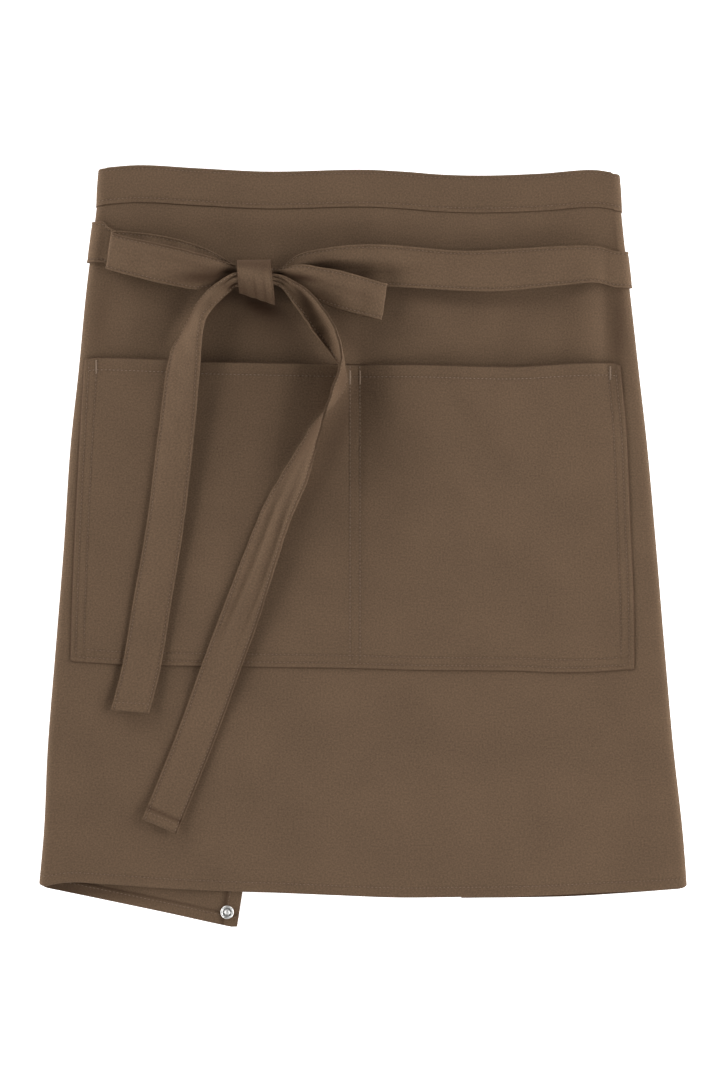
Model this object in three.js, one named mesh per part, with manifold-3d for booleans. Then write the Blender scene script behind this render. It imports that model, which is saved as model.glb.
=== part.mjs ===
// Waist apron lying on a flat surface with its front up and its ties bound in a bow on the front.
// Millimetres, +Z up, +Y towards the waist, origin at the middle of the apron on the surface it lies on.
import * as THREE from "three";
import Module from "manifold-3d";

const wasm = await Module();
wasm.setup();

// Driving dimensions
const CLOTH = 1.0; // thickness of the cloth
const GAP = 0.3; // clearance between pieces that are sewn or lie together
const STRAP = 1.5; // thickness of the ties, a strip folded double
const BAND_DEPTH = 27.5; // depth of the waistband
const BAND_WALL = 0.9; // thickness of each leaf of the waistband
const BAND_CAP = 1.2; // how far the waistband's fold stands above the cloth's top edge
const BACK_DROP = 1.5; // how far the back lies below the front's top edge
const ROLL = 6; // breadth of the soft roll at each side fold
const FOLD_HEIGHT = 9; // height between front and back cloth at a side fold
const FOLD_REACH = 38; // how far the height of a side fold is felt across the front
const SINK = 1.3; // how far the front sinks between the two back flaps
const POCKET_GAP = 0.6; // clearance under the pocket along its seams
const POCKET_PUFF = 6.5; // how far the mouth of each compartment stands open
const POCKET_PART = -6; // where the pocket is parted, across the front
const SNAP = { x: -101.7, y: -273.8, radius: 5, post: 1.7, hole: 2.1, lift: 1.5, flat: 14, slope: 45 };
// Length over which a tie climbs to the pocket's mouth
const TIE_RAMP = 45;
const KNOT = { x: -79.5, left: -93.5, right: -66.5, crown: 2.1, seat: 2.8, clear: 0.4, height: 18 };

const table = (columns, rows) => rows.map((row) =>
  Object.fromEntries(columns.split(" ").map((column, k) => [column, row[k]])));

// Side edges of the apron as it lies, from hem to waist
const SIDES = table("y left right", [
  [-256, -242.2, 242.2],
  [-210, -238.2, 238.5],
  [-150, -235.5, 231.8],
  [-75, -229.5, 225.2],
  [0, -223.5, 219],
  [75, -218.5, 212.3],
  [135, -212, 205.5],
  [195, -206, 198.6],
  [255, -198.4, 192],
  [284, -196.5, 190.5],
]);

// Finished top edge of the waistband on the front
const WAIST = table("x y", [
  [-197, 282], [-165, 284.6], [-122, 282.6], [-70, 280.2], [-2, 281.6], [30, 280.2],
  [58, 278], [90, 277.2], [133, 278.6], [170, 280.9], [191, 278],
]);

// Hem of the front, of the left flap and of the right flap
const HEM = table("x y", [
  [-242, -254], [-221, -250.6], [-193, -252.4], [-149, -255.7], [-91, -258.2], [-25, -261],
  [28, -262.9], [77, -262.3], [128, -261.4], [207, -257.2], [242, -254.8],
]);
const LEFT_HEM = table("x y", [[-242, -254.6], [-94.5, -284.6]]);
const RIGHT_HEM = table("x y", [[76.5, -263.2], [150, -262.1], [200, -259.2], [242, -256]]);

// Free side edges of the two flaps, at the hem and at the waist
const FLAP_EDGES = table("y left right", [[-284.6, -94.5, 76.5], [283, -6, 6]]);

// How high the ties carry the flaps above them, and the space between flap and front, towards the waist
const LIFT = { from: 112, to: 184, height: 2.2 };
const WAIST_LIFT = { from: 224, to: 250, height: 1.1 };
const SPACE = { flat: 2, waist: 4.2 };

// Soft folds of the front: middle, direction in degrees, half length, half breadth and height
const FOLDS = table("x y turn length breadth height", [
  [170, 160, 88, 50, 11, 2.4],
  [191, 190, 97, 60, 6, -0.5],
  [60, 172, 5, 45, 24, 1.4],
  [62, 60, -54, 48, 12, 1.5],
  [118, 20, -72, 70, 22, 1.1],
  [-120, -10, 80, 70, 24, 0.8],
  [20, -170, 86, 80, 30, 1.0],
  [145, -175, 84, 75, 26, 1.2],
  [-150, -190, 96, 65, 24, 1.1],
  [90, 232, 0, 55, 16, 1.0],
  [-60, -60, 70, 80, 26, 0.7],
]);

// Pocket patch: top and bottom edge across, side edges along
const POCKET_TOP = table("x y", [
  [-207, 138.7], [-199, 140], [-145, 138.4], [-118, 137.1], [-18, 135.4], [42, 134.9],
  [109, 133.2], [157, 135.6], [186, 136], [191.5, 134.4],
]);
const POCKET_BOTTOM = table("x y", [
  [-217.5, -84.8], [-180, -87.6], [-120, -88.9], [-11, -90.4], [38, -91.8], [110, -92.4],
  [157, -93.6], [202, -91],
]);
const POCKET_SIDES = table("y left right", [
  [-91, -217.5, 201.8], [-40, -216, 201.2], [20, -213.5, 198.6], [84, -210.2, 196], [137, -207, 191.3],
]);

// Ties from the sides to the knot: upper and lower edge, and height of the tie's middle above the cloth's
const LEFT_BAND = table("x top bottom rise", [
  [-193, 242, 212, 1.8], [-186, 236, 206.6, 2.6], [-152, 223.5, 196.5, 5.2], [-122, 214.5, 193, 5.2],
  [-95, 206, 195.5, 4.3], [-82, 205.5, 196, 4.3],
]);
const RIGHT_BAND = table("x top bottom rise", [
  [188.5, 219.8, 193, 1.8], [172, 223.8, 196.5, 3.4], [142, 223.5, 194, 6.2], [103, 221.2, 190.4, 6.4],
  [70, 220.5, 190.8, 6], [28, 223.9, 193.5, 5.7], [0, 224.6, 194.6, 5.6], [-23, 222.4, 195.5, 5.1],
  [-47, 217.9, 197, 4.7], [-64, 206, 196, 4.4], [-77, 205.5, 196.5, 4.4],
]);
// Ties at the waistband's ends: where they start, turn and leave the flap, and their edges there
const ROOT = { x: 5.7, turn: 3.2, top: 279.4, bottom: 252.2, floor: 0.85 };

// Sections of the bow: both edges (a and b), their heights above the cloth, and the bulge between them
const SECTION = "ax ay az bx by bz bulge";
const LEFT_LOOP = table(SECTION, [
  [-82, 209.5, 6, -82, 200.5, 6, 0],
  [-95, 210, 6, -95, 200, 6, 0],
  [-118.5, 222.6, 7, -121, 199, 6.8, 0],
  [-147.5, 231, 6.8, -151, 205, 7, 0],
  [-175.5, 234.3, 5.6, -180, 207.5, 5.6, 0],
  [-186.3, 233.6, 8, -190.6, 206.6, 7.8, 0],
  [-175.5, 229.6, 12, -180, 203, 11, -0.6],
  [-147.5, 223.6, 17.5, -151.5, 196.5, 13.4, -1.8],
  [-118.5, 216.6, 16.5, -121, 191.8, 9.4, -2.2],
  [-95, 209.5, 9.2, -95, 199, 8.8, 0],
  [-82, 209, 8.9, -82, 200, 8.8, 0],
]);
const RIGHT_LOOP = table(SECTION, [
  [-77, 198.5, 6, -77, 208.5, 6, 0],
  [-64, 197, 6, -64, 207, 6, 0],
  [-47, 187, 6, -46, 209, 6.7, 0],
  [-19, 176.5, 6.6, -14, 203, 7.2, 0],
  [2, 171, 6.8, 6.5, 198, 7.2, 0],
  [13.5, 168.8, 9.2, 17.5, 195.6, 9.8, 0],
  [2, 171.5, 12.6, 6.5, 198.2, 14.4, -0.6],
  [-19, 177.5, 13, -14, 203.6, 19.5, -2],
  [-47, 188.5, 8.6, -45.5, 209, 16.5, -2.6],
  [-64, 198, 8.8, -64, 206.5, 9.2, 0],
  [-77, 199, 8.8, -77, 208, 8.9, 0],
]);
const LEFT_TAIL = table(SECTION, [
  [-83, 202, 16.4, -83, 193.5, 15.8, 0.5],
  [-96, 202.4, 14, -94.5, 193.4, 12.8, 2.4],
  [-110, 194.4, 12.2, -99.5, 190, 10.2, 5],
  [-119.5, 186.2, 8.8, -107, 183.2, 10.4, 5.2],
  [-127, 176.6, 3.8, -113.8, 175, 12.8, 4.4],
  [-135, 161.4, 1.4, -119, 161.4, 15, 3],
  [-144.5, 139, 1.2, -120.8, 139, 11.5, 2.4],
  [-152, 86.6, 1.1, -125.3, 86.6, 7.5, 2.2],
  [-160.5, 20.6, 1.1, -133, 20.6, 4, 2],
  [-171.2, -40, 1.1, -143, -40, 2.4, 1.8],
  [-179.3, -87.4, 1.1, -150.8, -87.4, 1.6, 1.8],
  [-187.9, -122.3, 2.4, -159.8, -124.5, 2.8, 1.6],
]);
const RIGHT_TAIL = table(SECTION, [
  [-76, 193, 16.6, -76, 201.5, 17, -0.4],
  [-64.5, 194.4, 15.2, -63.5, 201.5, 15.8, -1],
  [-56, 186.6, 15, -53.5, 197.6, 18.2, -3.4],
  [-46.6, 173.6, 14.6, -41.3, 189.4, 20.6, -6],
  [-37.6, 160.4, 12.2, -30, 176.3, 22, -7.4],
  [-28.2, 148.2, 7.6, -20.8, 160.4, 24, -6],
  [-19.2, 138, 2.4, -16, 144.6, 25.4, -2.6],
  [-13, 128.6, 1.2, -17, 133.6, 26.4, -1],
  [-14.4, 118, 1.1, -21, 121, 26.6, -0.6],
  [-22.4, 106.4, 1.1, -25.6, 107, 26, -0.6],
  [-36, 92, 1.1, -30, 93.4, 24.8, -0.8],
  [-48.6, 72, 1.1, -36, 69.6, 21.8, -1],
  [-61, 52.2, 1.1, -42.2, 46.7, 17.5, -0.8],
  [-76.6, 24.6, 1.1, -56.2, 13.2, 12, 0],
  [-99.8, -34.8, 1.1, -74.6, -44.6, 5, 0.8],
  [-118.5, -83.6, 1.1, -92.2, -93.4, 2.4, 1.4],
  [-138.4, -138.4, 1.1, -112.5, -148.5, 1.4, 1.8],
  [-164.5, -203.6, 2.4, -139.5, -214.8, 2.8, 1.6],
]);

// Turn of tie round the bow: its sections from left to right
const WRAP = table("x middle reach depth", [
  [KNOT.left, 200.8, 11.6, 8.7],
  [-87, 199.9, 12.8, 8.9],
  [KNOT.x, 198.8, 14, 9],
  [-72.5, 197.6, 15.2, 8.9],
  [KNOT.right, 196.8, 16.2, 8.7],
]);

const lerp = THREE.MathUtils.lerp;
const range = (count) => Array.from({ length: count }, (_, k) => k);
const soft = (t, from = 0, to = 1) => THREE.MathUtils.smoothstep(t, from, to);

// Reads one column of a table at any place along another, as a smooth curve through the rows
function read(rows, key, column, at) {
  const last = rows.length - 1;
  const place = THREE.MathUtils.clamp(at, rows[0][key], rows[last][key]);
  let k = 0;
  while (k < last - 1 && place > rows[k + 1][key]) k += 1;
  const slope = (n) => {
    const before = rows[Math.max(n - 1, 0)];
    const after = rows[Math.min(n + 1, last)];
    return (after[column] - before[column]) / (after[key] - before[key]);
  };
  const step = rows[k + 1][key] - rows[k][key];
  const t = (place - rows[k][key]) / step;
  const a = rows[k][column];
  const b = rows[k + 1][column];
  const [sa, sb] = [slope(k) * step, slope(k + 1) * step];
  return a + t * (sa + t * (3 * (b - a) - 2 * sa - sb + t * (2 * (a - b) + sa + sb)));
}

const numbered = (rows) => rows.map((row, n) => ({ n, ...row }));
const sideX = (side, y) => read(SIDES, "y", side < 0 ? "left" : "right", y);
const flapEdgeX = (side, y) => read(FLAP_EDGES, "y", side < 0 ? "left" : "right", y);
const waistY = (x) => read(WAIST, "x", "y", x);

const lifted = ({ from, to, height }, y) => height * soft(y, from, to);

// Height of the middle of the back cloth: level on the floor, lifted over the ties and over the stud
function backZ(x, y) {
  const away = Math.hypot(x - SNAP.x, y - SNAP.y);
  const corner = x < 0 ? SNAP.lift * (1 - soft(away, SNAP.flat, SNAP.slope)) : 0;
  return CLOTH / 2 + lifted(LIFT, y) + lifted(WAIST_LIFT, y) + corner;
}

// Height that the soft folds add to the front at a place
function foldsZ(x, y) {
  return FOLDS.reduce((sum, fold) => {
    const turn = THREE.MathUtils.degToRad(fold.turn);
    const [dx, dy] = [x - fold.x, y - fold.y];
    const along = (dx * Math.cos(turn) + dy * Math.sin(turn)) / fold.length;
    const across = (dy * Math.cos(turn) - dx * Math.sin(turn)) / fold.breadth;
    return sum + fold.height * Math.exp(-along * along - across * across);
  }, 0);
}

// Height of the middle of the front cloth: over the back, higher at the side folds, sunk between the flaps
function frontZ(x, y) {
  const space = lerp(SPACE.flat, SPACE.waist, soft(y, WAIST_LIFT.from, WAIST_LIFT.to));
  const [left, right] = [sideX(-1, y) + ROLL, sideX(1, y) - ROLL];
  const fromLeft = Math.max(x - left, 0) / FOLD_REACH;
  const fromRight = Math.max(right - x, 0) / FOLD_REACH;
  const rise = (FOLD_HEIGHT - space) * (Math.exp(-fromLeft * fromLeft) + Math.exp(-fromRight * fromRight));
  const [a, b] = [flapEdgeX(-1, y), flapEdgeX(1, y)];
  const sunk = SINK * soft((b - a) / 2 - Math.abs(x - (a + b) / 2), 0, 30);
  const below = soft(waistY(x) - y, BAND_DEPTH, BAND_DEPTH + 20);
  const inside = soft(Math.min(x - left, right - x), 0, 12) * below;
  return backZ(x, y) + space + rise - sunk + foldsZ(x, y) * inside;
}

// A place on the side fold: angle -90 at the back, 0 at the outer edge, 90 at the front, moved out by off
function foldPoint(side, angle, y, off = 0) {
  const turn = THREE.MathUtils.degToRad(angle);
  const start = sideX(side, y) - side * ROLL;
  const [low, high] = [backZ(start, y), frontZ(start, y)];
  const x = start + side * (ROLL + off) * Math.cos(turn);
  return new THREE.Vector3(x, y, (low + high) / 2 + ((high - low) / 2 + off) * Math.sin(turn));
}

// Pocket patch as a function of the parts of its width (u) and height (v)
function pocketPlace(u, v) {
  const side = (y) => lerp(read(POCKET_SIDES, "y", "left", y), read(POCKET_SIDES, "y", "right", y), u);
  const x = side(lerp(-91, 137, v));
  return [x, lerp(read(POCKET_BOTTOM, "x", "y", x), read(POCKET_TOP, "x", "y", x), v)];
}

// How far the pocket stands off the front: sewn down at its sides, foot and parting, open at the mouth
function puff(x, y) {
  const [left, right] = [read(POCKET_SIDES, "y", "left", y), read(POCKET_SIDES, "y", "right", y)];
  const [a, b] = x < POCKET_PART ? [left, POCKET_PART] : [POCKET_PART, right];
  const across = THREE.MathUtils.clamp((x - a) / (b - a), 0, 1);
  const foot = read(POCKET_BOTTOM, "x", "y", x);
  const up = THREE.MathUtils.clamp((y - foot) / (read(POCKET_TOP, "x", "y", x) - foot), 0, 1);
  return POCKET_PUFF * Math.sin(Math.PI * across) ** 0.8 * Math.sin((Math.PI / 2) * up) ** 1.6;
}
const pocketZ = (x, y) => frontZ(x, y) + CLOTH + POCKET_GAP + puff(x, y);

// Height of the top of whatever cloth lies under the bow at a place
function groundZ(x, y) {
  const [left, right] = [read(POCKET_SIDES, "y", "left", y), read(POCKET_SIDES, "y", "right", y)];
  const [foot, mouth] = [read(POCKET_BOTTOM, "x", "y", x), read(POCKET_TOP, "x", "y", x)];
  const inside = Math.min(x - left, right - x, y - foot, mouth - y);
  const over = soft(inside, -TIE_RAMP, -1);
  return frontZ(x, y) + CLOTH / 2 + over * (CLOTH + POCKET_GAP + puff(x, y));
}

// Closed solid of even thickness about a grid of middle points; a ring joins its last row to its first
function shell(grid, thickness, ring = false) {
  const [rows, cols] = [grid.length, grid[0].length];
  const normals = normalsOf(grid, ring);
  const points = [];
  for (const sign of [1, -1]) {
    grid.forEach((row, i) => row.forEach((p, j) => {
      points.push(...p.clone().addScaledVector(normals[i][j], (sign * thickness) / 2).toArray());
    }));
  }
  const index = [];
  const id = (i, j, under) => (i % rows) * cols + j + (under ? rows * cols : 0);
  const quad = (a, b, c, d) => index.push(a, b, c, a, c, d);
  const spans = ring ? rows : rows - 1;
  for (let i = 0; i < spans; i += 1) {
    for (let j = 0; j < cols - 1; j += 1) {
      quad(id(i, j), id(i + 1, j), id(i + 1, j + 1), id(i, j + 1));
      quad(id(i, j, 1), id(i, j + 1, 1), id(i + 1, j + 1, 1), id(i + 1, j, 1));
    }
    quad(id(i, 0), id(i, 0, 1), id(i + 1, 0, 1), id(i + 1, 0));
    quad(id(i, cols - 1), id(i + 1, cols - 1), id(i + 1, cols - 1, 1), id(i, cols - 1, 1));
  }
  for (let j = 0; !ring && j < cols - 1; j += 1) {
    quad(id(0, j), id(0, j + 1), id(0, j + 1, 1), id(0, j, 1));
    quad(id(rows - 1, j), id(rows - 1, j, 1), id(rows - 1, j + 1, 1), id(rows - 1, j + 1));
  }
  return solid(points, index);
}

// Unit normals of a grid, from the differences between neighbouring points
function normalsOf(grid, ring = false) {
  const [rows, cols] = [grid.length, grid[0].length];
  const row = (i) => (ring ? (i + rows) % rows : THREE.MathUtils.clamp(i, 0, rows - 1));
  const col = (j) => THREE.MathUtils.clamp(j, 0, cols - 1);
  return grid.map((line, i) => line.map((_, j) => {
    const along = grid[row(i + 1)][j].clone().sub(grid[row(i - 1)][j]);
    const across = grid[i][col(j + 1)].clone().sub(grid[i][col(j - 1)]);
    return along.cross(across).normalize();
  }));
}

function solid(points, index) {
  const geometry = new THREE.BufferGeometry();
  geometry.setAttribute("position", new THREE.Float32BufferAttribute(points, 3));
  geometry.setIndex(index);
  geometry.computeVertexNormals();
  return geometry;
}

// Solid made by carrying a closed outline along stations, with its two ends closed
function sweep(sections, outline) {
  const count = outline.length;
  const index = [];
  for (let i = 0; i < sections.length - 1; i += 1) {
    for (let k = 0; k < count; k += 1) {
      const next = (k + 1) % count;
      const [a, b, c, d] = [i * count + k, i * count + next, (i + 1) * count + next, (i + 1) * count + k];
      index.push(a, b, c, a, c, d);
    }
  }
  const end = (sections.length - 1) * count;
  for (const [a, b, c] of THREE.ShapeUtils.triangulateShape(outline, [])) {
    index.push(a, c, b, end + a, end + b, end + c);
  }
  return solid(sections.flat().flatMap((p) => p.toArray()), index);
}

const toManifold = (geometry) => new wasm.Manifold(new wasm.Mesh({
  numProp: 3,
  vertProperties: new Float32Array(geometry.attributes.position.array),
  triVerts: new Uint32Array(geometry.index.array),
}));
function fromManifold(body) {
  const mesh = body.getMesh();
  return solid(Array.from(mesh.vertProperties), Array.from(mesh.triVerts));
}

// Stations round the cloth, from the left flap's free edge over the front to the right flap's
const FLAP_PARTS = [0, 0.07, 0.16, 0.3, 0.45, 0.6, 0.75, 0.875, 0.938, 1];
const FOLD_ANGLES = [-60, -30, 0, 30, 60];
const EDGE_PARTS = [0, 0.0174, 0.035, 0.0565, 0.083, 0.117, 0.165, 0.226];
const MIDDLE_PARTS = [0.295, 0.365, 0.43, 0.5, 0.57, 0.635, 0.705];
const STATIONS = [
  ...FLAP_PARTS.toReversed().map((part) => ({ zone: "flap", side: -1, part })),
  ...FOLD_ANGLES.map((angle) => ({ zone: "fold", side: -1, angle })),
  ...[...EDGE_PARTS, ...MIDDLE_PARTS, ...EDGE_PARTS.toReversed().map((part) => 1 - part)]
    .map((part) => ({ zone: "front", part })),
  ...FOLD_ANGLES.toReversed().map((angle) => ({ zone: "fold", side: 1, angle })),
  ...FLAP_PARTS.map((part) => ({ zone: "flap", side: 1, part })),
];
// Parts of the height from the hem to the waistband's lower edge where the cloth has a row of points
const ROWS = [
  0, 0.0174, 0.038, 0.075, 0.14, 0.21, 0.28, 0.35, 0.42, 0.49, 0.56, 0.63, 0.7,
  0.77, 0.84, 0.91, 0.95, 0.975, 1,
];

function stationX(station, y) {
  const { zone, side, part } = station;
  if (zone === "front") return lerp(sideX(-1, y) + ROLL, sideX(1, y) - ROLL, part);
  if (zone === "flap") return lerp(sideX(side, y) - side * ROLL, flapEdgeX(side, y), part);
  return sideX(side, y);
}

// Hem and top edge of the cloth at a station
function stationEnds(station, x) {
  const back = () => read(station.side < 0 ? LEFT_HEM : RIGHT_HEM, "x", "y", x);
  const { zone, angle = 0 } = station;
  const share = { flap: 1, front: 0 }[zone] ?? (1 - Math.sin(THREE.MathUtils.degToRad(angle))) / 2;
  const hem = share ? lerp(read(HEM, "x", "y", x), back(), share) : read(HEM, "x", "y", x);
  return [hem, waistY(x) - BAND_CAP - BACK_DROP * share];
}

function clothPoint(station, level) {
  const guess = stationX(station, lerp(-255, 282, level));
  const [hem, top] = stationEnds(station, guess);
  const y = level > 1 ? top : lerp(hem, top - BAND_DEPTH + BAND_CAP, level);
  if (station.zone === "fold") return foldPoint(station.side, station.angle, y);
  const x = stationX(station, y);
  return new THREE.Vector3(x, y, station.zone === "front" ? frontZ(x, y) : backZ(x, y));
}

function apronBody(grid) {
  const hole = new THREE.CylinderGeometry(SNAP.hole, SNAP.hole, 20, 16);
  hole.rotateX(Math.PI / 2).translate(SNAP.x, SNAP.y, 0);
  hole.deleteAttribute("normal");
  hole.deleteAttribute("uv");
  return fromManifold(toManifold(shell(grid, CLOTH)).subtract(toManifold(merged(hole))));
}

// Joins points of a geometry that lie at the same place
function merged(geometry) {
  const seen = new Map();
  const points = [];
  const { position } = geometry.attributes;
  const place = range(position.count).map((k) => {
    const p = new THREE.Vector3().fromBufferAttribute(position, k);
    const key = p.toArray().map((value) => value.toFixed(4)).join();
    if (!seen.has(key)) {
      seen.set(key, seen.size);
      points.push(...p.toArray());
    }
    return seen.get(key);
  });
  const index = Array.from(geometry.index.array, (k) => place[k]);
  const kept = range(index.length / 3).map((k) => index.slice(3 * k, 3 * k + 3))
    .filter(([a, b, c]) => a !== b && b !== c && c !== a);
  return solid(points, kept.flat());
}

// Waistband: a strip folded over the top edge, one leaf outside the cloth and one inside
function waistband(grid) {
  const normals = normalsOf(grid);
  const [inner, outer] = [CLOTH / 2 + GAP, CLOTH / 2 + GAP + BAND_WALL];
  const rim = BAND_CAP - BAND_WALL;
  const outline = [
    [0, -inner], [0, -outer], [1, -outer], [1.03, -inner], [1.03, inner], [1, outer],
    [0, outer], [0, inner], [1, inner], [1, -inner],
  ].map(([level, off]) => new THREE.Vector2(level * BAND_DEPTH, off));
  const sections = grid.map((line, i) => {
    const [low, high] = [line.length - 2, line.length - 1];
    const up = line[high].clone().sub(line[low]).normalize();
    return outline.map(({ x: height, y: off }) => {
      const at = height < BAND_DEPTH ? low : high;
      const lift = height > BAND_DEPTH ? BAND_CAP : at === high ? rim : 0;
      return line[at].clone().addScaledVector(normals[i][at], off).addScaledVector(up, lift);
    });
  });
  return sweep(sections, outline);
}

function pocket() {
  const parts = (count) => range(count + 1).map((k) => k / count);
  const columns = [0, 0.018, 0.04, 0.07, 0.11, ...parts(18).slice(3, 16), 0.89, 0.935, 0.97, 1];
  return shell(columns.map((u) => parts(10).map((v) => {
    const [x, y] = pocketPlace(u, v);
    return new THREE.Vector3(x, y, pocketZ(x, y));
  })), CLOTH);
}

// Band of a tie: from the waistband's end, back under the flap, round the side fold and over the front
function band(side, rows) {
  const front = numbered(rows);
  const across = range(5).map((k) => k / 4);
  const edge = rows[0];
  const rootZ = backZ(side * ROOT.x, ROOT.top);
  const bend = (rootZ - ROOT.floor) / 2;
  const level = (x, top, bottom, z) => across.map((w) => new THREE.Vector3(x, lerp(top, bottom, w), z));
  const grid = [level(side * ROOT.x, ROOT.top, ROOT.bottom, rootZ)];
  for (const angle of [90, 45, 0, -45, -90]) {
    const turn = THREE.MathUtils.degToRad(angle);
    grid.push(level(side * (ROOT.turn - bend * Math.cos(turn)), ROOT.top, ROOT.bottom,
      (rootZ + ROOT.floor) / 2 + bend * Math.sin(turn)));
  }
  for (const part of [0.1, 0.25, 0.4, 0.55, 0.7, 0.82, 0.92, 0.98]) {
    grid.push(across.map((w) => {
      const y = lerp(lerp(ROOT.top, edge.top, part), lerp(ROOT.bottom, edge.bottom, part), w);
      const x = lerp(side * ROOT.turn, sideX(side, y) - side * ROLL, part);
      const onFold = backZ(x, y) - edge.rise;
      return new THREE.Vector3(x, y, Math.max(ROOT.floor, lerp(ROOT.floor, onFold, soft(part, 0.7, 1))));
    }));
  }
  for (const angle of [-90, ...FOLD_ANGLES, 90]) {
    grid.push(across.map((w) => foldPoint(side, angle, lerp(edge.top, edge.bottom, w), edge.rise)));
  }
  const steps = (rows.length - 1) * 2;
  for (let k = 1; k <= steps; k += 1) {
    const n = (k / steps) * (rows.length - 1);
    const at = (column) => read(front, "n", column, n);
    grid.push(across.map((w) => {
      const y = lerp(at("top"), at("bottom"), w);
      return new THREE.Vector3(at("x"), y, frontZ(at("x"), y) + at("rise"));
    }));
  }
  return shell(side < 0 ? grid.map((line) => line.toReversed()) : grid, STRAP);
}

// Strap through a table of sections, bulged between its edges
function strap(rows, perRow) {
  const sections = numbered(rows);
  const steps = (rows.length - 1) * perRow;
  const at = (k) => {
    const n = (k / steps) * (rows.length - 1);
    const value = (column) => read(sections, "n", column, n);
    const edge = (e) => {
      const [x, y] = [value(`${e}x`), value(`${e}y`)];
      return new THREE.Vector3(x, y, groundZ(x, y) + value(`${e}z`));
    };
    return { a: edge("a"), b: edge("b"), bulge: value("bulge") };
  };
  const cuts = range(steps + 1).map(at);
  const middle = ({ a, b }) => a.clone().lerp(b, 0.5);
  return shell(cuts.map((cut, k) => {
    const ahead = middle(cuts[Math.min(k + 1, steps)]).sub(middle(cuts[Math.max(k - 1, 0)]));
    const out = ahead.cross(cut.b.clone().sub(cut.a)).normalize();
    return range(5).map((j) => {
      const w = j / 4;
      return cut.a.clone().lerp(cut.b, w).addScaledVector(out, cut.bulge * 4 * w * (1 - w));
    });
  }), STRAP);
}

// Turn of tie round the bow: a ring, round above and flatter below, wider in reach towards the right
function knot() {
  const ground = groundZ(KNOT.x, WRAP[2].middle) + KNOT.clear + STRAP / 2;
  const bent = (value, square) => Math.sign(value) * Math.abs(value) ** (2 / square);
  return shell(range(20).map((k) => {
    const turn = (k / 20) * 2 * Math.PI;
    const square = k <= 10 ? KNOT.crown : KNOT.seat;
    const [out, up] = [bent(Math.cos(turn), square), bent(Math.sin(turn), square)];
    return WRAP.map(({ x, middle, reach, depth }) => new THREE.Vector3(
      x, middle + reach * out, ground + KNOT.height / 2 + depth * up));
  }), STRAP, true);
}

// Press stud: cap under the cloth, post through it, ring with a dished middle above it
function snapButton() {
  const under = backZ(SNAP.x, SNAP.y) - CLOTH / 2;
  const over = under + CLOTH + GAP;
  const profile = [
    [0, 0.05], [3.6, 0.05], [4.7, 0.4], [SNAP.radius, under - GAP], [SNAP.post, under - GAP],
    [SNAP.post, over], [4.6, over], [SNAP.radius, over + 0.5], [SNAP.radius - 0.2, over + 1.2],
    [SNAP.radius - 0.8, over + 1.5], [SNAP.radius - 1.5, over + 1.2], [3.2, over + 0.7], [2.1, over + 0.7],
    [1.8, over + 1.7], [1.2, over + 1.9], [0.9, over + 1.3], [0, over + 1.3],
  ].map(([r, z]) => new THREE.Vector2(r, z));
  const lathe = new THREE.LatheGeometry(profile, 20);
  lathe.rotateX(Math.PI / 2).translate(SNAP.x, SNAP.y, 0);
  return merged(lathe);
}

const cloth = (color = 0x685544) => new THREE.MeshStandardMaterial({ color, roughness: 0.92, metalness: 0 });
const metal = () => new THREE.MeshStandardMaterial({ color: 0xc9c8c4, roughness: 0.3, metalness: 0.9 });
const apron = new THREE.Group();
apron.name = "waist_apron";
function place(name, geometry, material = cloth()) {
  const mesh = new THREE.Mesh(geometry, material);
  mesh.name = name;
  apron.add(mesh);
}

const clothGrid = STATIONS.map((station) => [...ROWS, 2].map((level) => clothPoint(station, level)));
place("apron_body", apronBody(clothGrid));
place("waistband", waistband(clothGrid));
place("pocket", pocket());
place("tie_left_band", band(-1, LEFT_BAND));
place("tie_right_band", band(1, RIGHT_BAND));
place("bow_knot", knot());
place("bow_loop_left", strap(LEFT_LOOP, 3));
place("bow_loop_right", strap(RIGHT_LOOP, 3));
place("tie_left_tail", strap(LEFT_TAIL, 2));
place("tie_right_tail", strap(RIGHT_TAIL, 2));
place("snap_button", snapButton(), metal());

export default apron;
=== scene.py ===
"""Looks of a waist apron that lies front up, its ties bound in a bow on the front.

Shapes are worked out in millimetres, as the pattern is drawn, and turned into metres when a mesh is made.
+X is to the right of the front, +Y towards the waist and +Z up from the surface that the apron lies on.
"""

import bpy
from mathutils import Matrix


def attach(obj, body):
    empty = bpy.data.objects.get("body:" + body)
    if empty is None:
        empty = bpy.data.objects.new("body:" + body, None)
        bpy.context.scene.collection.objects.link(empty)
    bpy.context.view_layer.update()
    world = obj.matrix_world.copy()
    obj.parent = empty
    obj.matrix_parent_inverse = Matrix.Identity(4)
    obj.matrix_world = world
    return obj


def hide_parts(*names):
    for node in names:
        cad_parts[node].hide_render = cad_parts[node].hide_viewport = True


bl_info = {
    "name": "Waist Apron",
    "version": (1, 0, 0),
    "blender": (4, 5, 0),
    "location": "View3D > Sidebar > Apron",
    "description": "Sews a waist apron with a parted pocket, folded flaps and ties in a bow",
    "category": "Add Mesh",
}

import bpy
import numpy as np
from bpy.props import FloatProperty, FloatVectorProperty, PointerProperty
from mathutils import Vector

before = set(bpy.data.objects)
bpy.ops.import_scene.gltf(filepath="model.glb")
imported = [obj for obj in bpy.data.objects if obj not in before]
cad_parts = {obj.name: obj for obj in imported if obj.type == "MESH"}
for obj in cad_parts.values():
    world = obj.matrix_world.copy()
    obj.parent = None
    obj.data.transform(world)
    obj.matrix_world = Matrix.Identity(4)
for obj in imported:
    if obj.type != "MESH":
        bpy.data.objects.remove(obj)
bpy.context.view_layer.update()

MM = 0.001

# Thicknesses and clearances of the pattern
CLOTH = 1.0
POCKET_GAP = 0.6
GAP = 0.3
STRAP = 1.5
BAND_DEPTH = 27.5
BAND_CAP = 1.2
BACK_DROP = 1.5

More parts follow.
